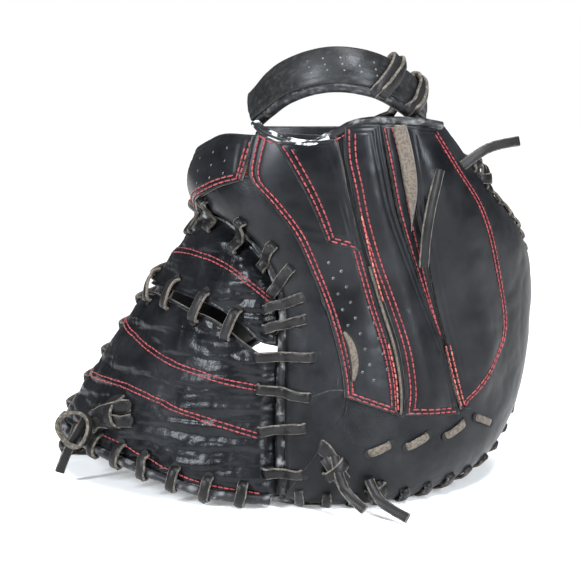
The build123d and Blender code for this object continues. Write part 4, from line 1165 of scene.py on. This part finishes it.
strap_skin(pile, [((half - 2) * np.sign(np.cos(a)) * abs(np.cos(a)) ** 0.5, -2.0 + 2.2 * np.sin(a))
                  for a in angles], 0, 0.1)
pile.make("strap_padding", [LINING_LEATHER], STRAP, ["strap_pad"])
pile = Pile()
strap_skin(pile, [(-half - 1.7 + 2.5 * np.cos(a), -0.4 + 3.4 * np.sin(a)) for a in angles], 0, 0.1, 0.12)
pile.make("strap_folded_edge", [BINDING_LEATHER], STRAP, ["strap_edge_roll"])

pile = Pile()
for k, (share, lean) in enumerate(((0.66, 0.05), (0.85, 0.06))):
    turns = np.linspace(-0.35 * pi, 1.35 * pi, 40)
    across, off = (half + 3.2) * np.cos(turns), 1.4 + 5.2 * np.sin(turns)
    points = strap_point(share + lean * np.cos(turns), across, off + 0.8 * noise(turns * 2, k, 3.0))
    centre = strap_point(share, 0.0, 0.0)
    for shift in (0.0, 0.035):
        moved = strap_point(share + shift + lean * np.cos(turns), across * (1 - shift),
                            off + 0.6 + 22 * shift)
        ribbon(pile, moved, moved - centre, 6.4, 2.2, 0, 3, 0.3, k * 2 + shift)
pile.make("strap_laces", LACES, STRAP, ["strap_lace"])

pile = Pile()
loop = [(46, 19, 229), (53, 18, 233), (60, 20, 236), (63, 25, 243), (57, 24, 249), (48, 22, 252),
        (40, 22, 254)]
tube(pile, (curve(loop, 10) - ORIGIN) * MM, 2.7, 14, ripple=0.16, wear=0.6)
pile.make("wrist_binding_curl", [BINDING_LEATHER], FINGERS, ())

# ---- Inner pieces that keep their CAD shape ----------------------------------------------------
for name in ("finger_stall_walls", "little_finger_loop", "thumb_loop"):
    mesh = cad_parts[name].data
    mesh.materials.clear()
    mesh.materials.append(LINING_LEATHER)

# ---- Free lace ends: each is a strip of lace, on the same route as its CAD solid ---------------
TAILS = {  # mm on the rolled-up pattern, before the origin is taken off
    "web_lace_tail": [(-128, 48, 46), (-135, 46, 34), (-142, 46.5, 22), (-147, 49, 8.5)],
    "tie_down_tail": [(26, -21.5, 37), (29, -28.5, 24), (34, -33, 16), (43, -42, 10.5)],
    "finger_tip_tail": [(47, -16, 21), (50, -22, 14), (56, -29, 8.5), (68, -41, 5.3)],
    "little_finger_tail": [(87.5, -3.2, 204), (84, -7, 191), (81, -9, 177), (79, -8.5, 162),
                           (78.5, -6.5, 147)],
    "wrist_lace_tail": [(102.5, 11.5, 205.5), (112, 14, 213), (124, 20, 218), (138, 27, 219.5)],
}


def spline_points(name, points):
    """The points of a NURBS curve with those control points."""
    data = bpy.data.curves.new(name + "_route", "CURVE")
    data.dimensions, data.resolution_u = "3D", 16
    spline = data.splines.new("NURBS")
    spline.points.add(len(points) - 1)
    for point, at in zip(spline.points, points):
        point.co = (*at, 1)
    spline.order_u, spline.use_endpoint_u = 3, True
    holder = bpy.data.objects.new(name + "_route", data)
    bpy.context.scene.collection.objects.link(holder)
    bpy.context.view_layer.update()
    found = bpy.data.meshes.new_from_object(holder)
    line = np.array([v.co for v in found.vertices])
    bpy.data.objects.remove(holder)
    bpy.data.curves.remove(data)
    bpy.data.meshes.remove(found)
    return line


for label, points in TAILS.items():
    line = spline_points(label, (np.array(points) - ORIGIN) * MM)
    pile = Pile()
    facing = np.tile([0.25, -1.0, 0.15], (len(line), 1))
    ribbon(pile, line, facing, LACE_WIDTH, LACE_THICK, 0, 3, 0.05, len(label))
    piece = pile.make(label + "_lace", LACES, FINGERS, [label])

# ---- Camera, floor and light -------------------------------------------------------------------
CAMERA_DISTANCE, CAMERA_RISE, CAMERA_LENS, CAMERA_SENSOR = 0.9, radians(8), 90, 36  # m, and mm
CAMERA_TARGET = np.array([0.0003, -0.0262, 0.1258])
camera_data = bpy.data.cameras.new("camera")
camera_data.lens, camera_data.sensor_width = CAMERA_LENS, CAMERA_SENSOR
camera = bpy.data.objects.new("camera", camera_data)
camera.location = CAMERA_TARGET + CAMERA_DISTANCE * np.array([0, -np.cos(CAMERA_RISE), np.sin(CAMERA_RISE)])
camera.rotation_euler = (pi / 2 - CAMERA_RISE, 0, 0)
bpy.context.scene.collection.objects.link(camera)
bpy.context.scene.camera = camera


def light(name, kind, location, target, power, size, colour=(1, 1, 1)):
    """A sun, whose size is its angle in degrees, or a rectangle, whose size is its two sides in metres."""
    data = bpy.data.lights.new(name, kind)
    data.energy, data.color = power, colour
    if kind == "SUN":
        data.angle = radians(size)
    else:
        data.shape = "RECTANGLE"
        data.size, data.size_y = size
    lamp = bpy.data.objects.new(name, data)
    lamp.location = location
    aim = Vector(target) - Vector(location)
    lamp.rotation_euler = aim.to_track_quat("-Z", "Y").to_euler()
    bpy.context.scene.collection.objects.link(lamp)


MIDDLE = (0, 0, 0.12)
light("top_sun", "SUN", (0.15, -0.12, 1.3), (0, 0, 0), 2.7, 30)
light("key_light", "AREA", (0.62, -0.85, 0.50), MIDDLE, 14, (0.10, 0.7), (0.88, 0.94, 1))
light("wrist_light", "AREA", (0.25, -0.55, 0.95), MIDDLE, 10, (0.15, 0.15), (0.9, 0.95, 1))
light("fill_light", "AREA", (-0.75, -0.6, 0.6), MIDDLE, 14, (0.12, 0.4), (0.88, 0.94, 1))

FLOOR_REACH = 8.0  # metres from the middle to each side
FLOOR_CORNERS = [(x * FLOOR_REACH, y * FLOOR_REACH, 0) for x, y in ((-1, -1), (1, -1), (1, 1), (-1, 1))]
floor_mesh = bpy.data.meshes.new("floor")
floor_mesh.from_pydata(FLOOR_CORNERS, [], [(0, 1, 2, 3)])
floor = bpy.data.objects.new("floor", floor_mesh)
bpy.context.scene.collection.objects.link(floor)
floor_material, tree, shader = new_material("floor_white")
wire(tree, shader, {"Base Color": (0.9, 0.9, 0.9, 1), "Roughness": 0.9, "Specular IOR Level": 0.1,
                    "Emission Color": (1, 1, 1, 1), "Emission Strength": 0.22})
floor_mesh.materials.append(floor_material)

world = bpy.data.worlds.new("world")
world.use_nodes = True
tree = world.node_tree
room = tree.nodes["Background"]  # what lights the mitt; the camera sees plain white behind it
wire(tree, room, {"Color": (0.93, 0.96, 1, 1), "Strength": 0.16})
behind = node(tree, "ShaderNodeBackground", {"Color": (1, 1, 1, 1), "Strength": 1.0})
seen = node(tree, "ShaderNodeLightPath").outputs["Is Camera Ray"]
chosen = node(tree, "ShaderNodeMixShader", {0: seen, 1: room.outputs[0], 2: behind.outputs[0]})
wire(tree, tree.nodes["World Output"], {"Surface": chosen.outputs[0]})
bpy.context.scene.world = world
bpy.context.scene.view_settings.view_transform = "Standard"
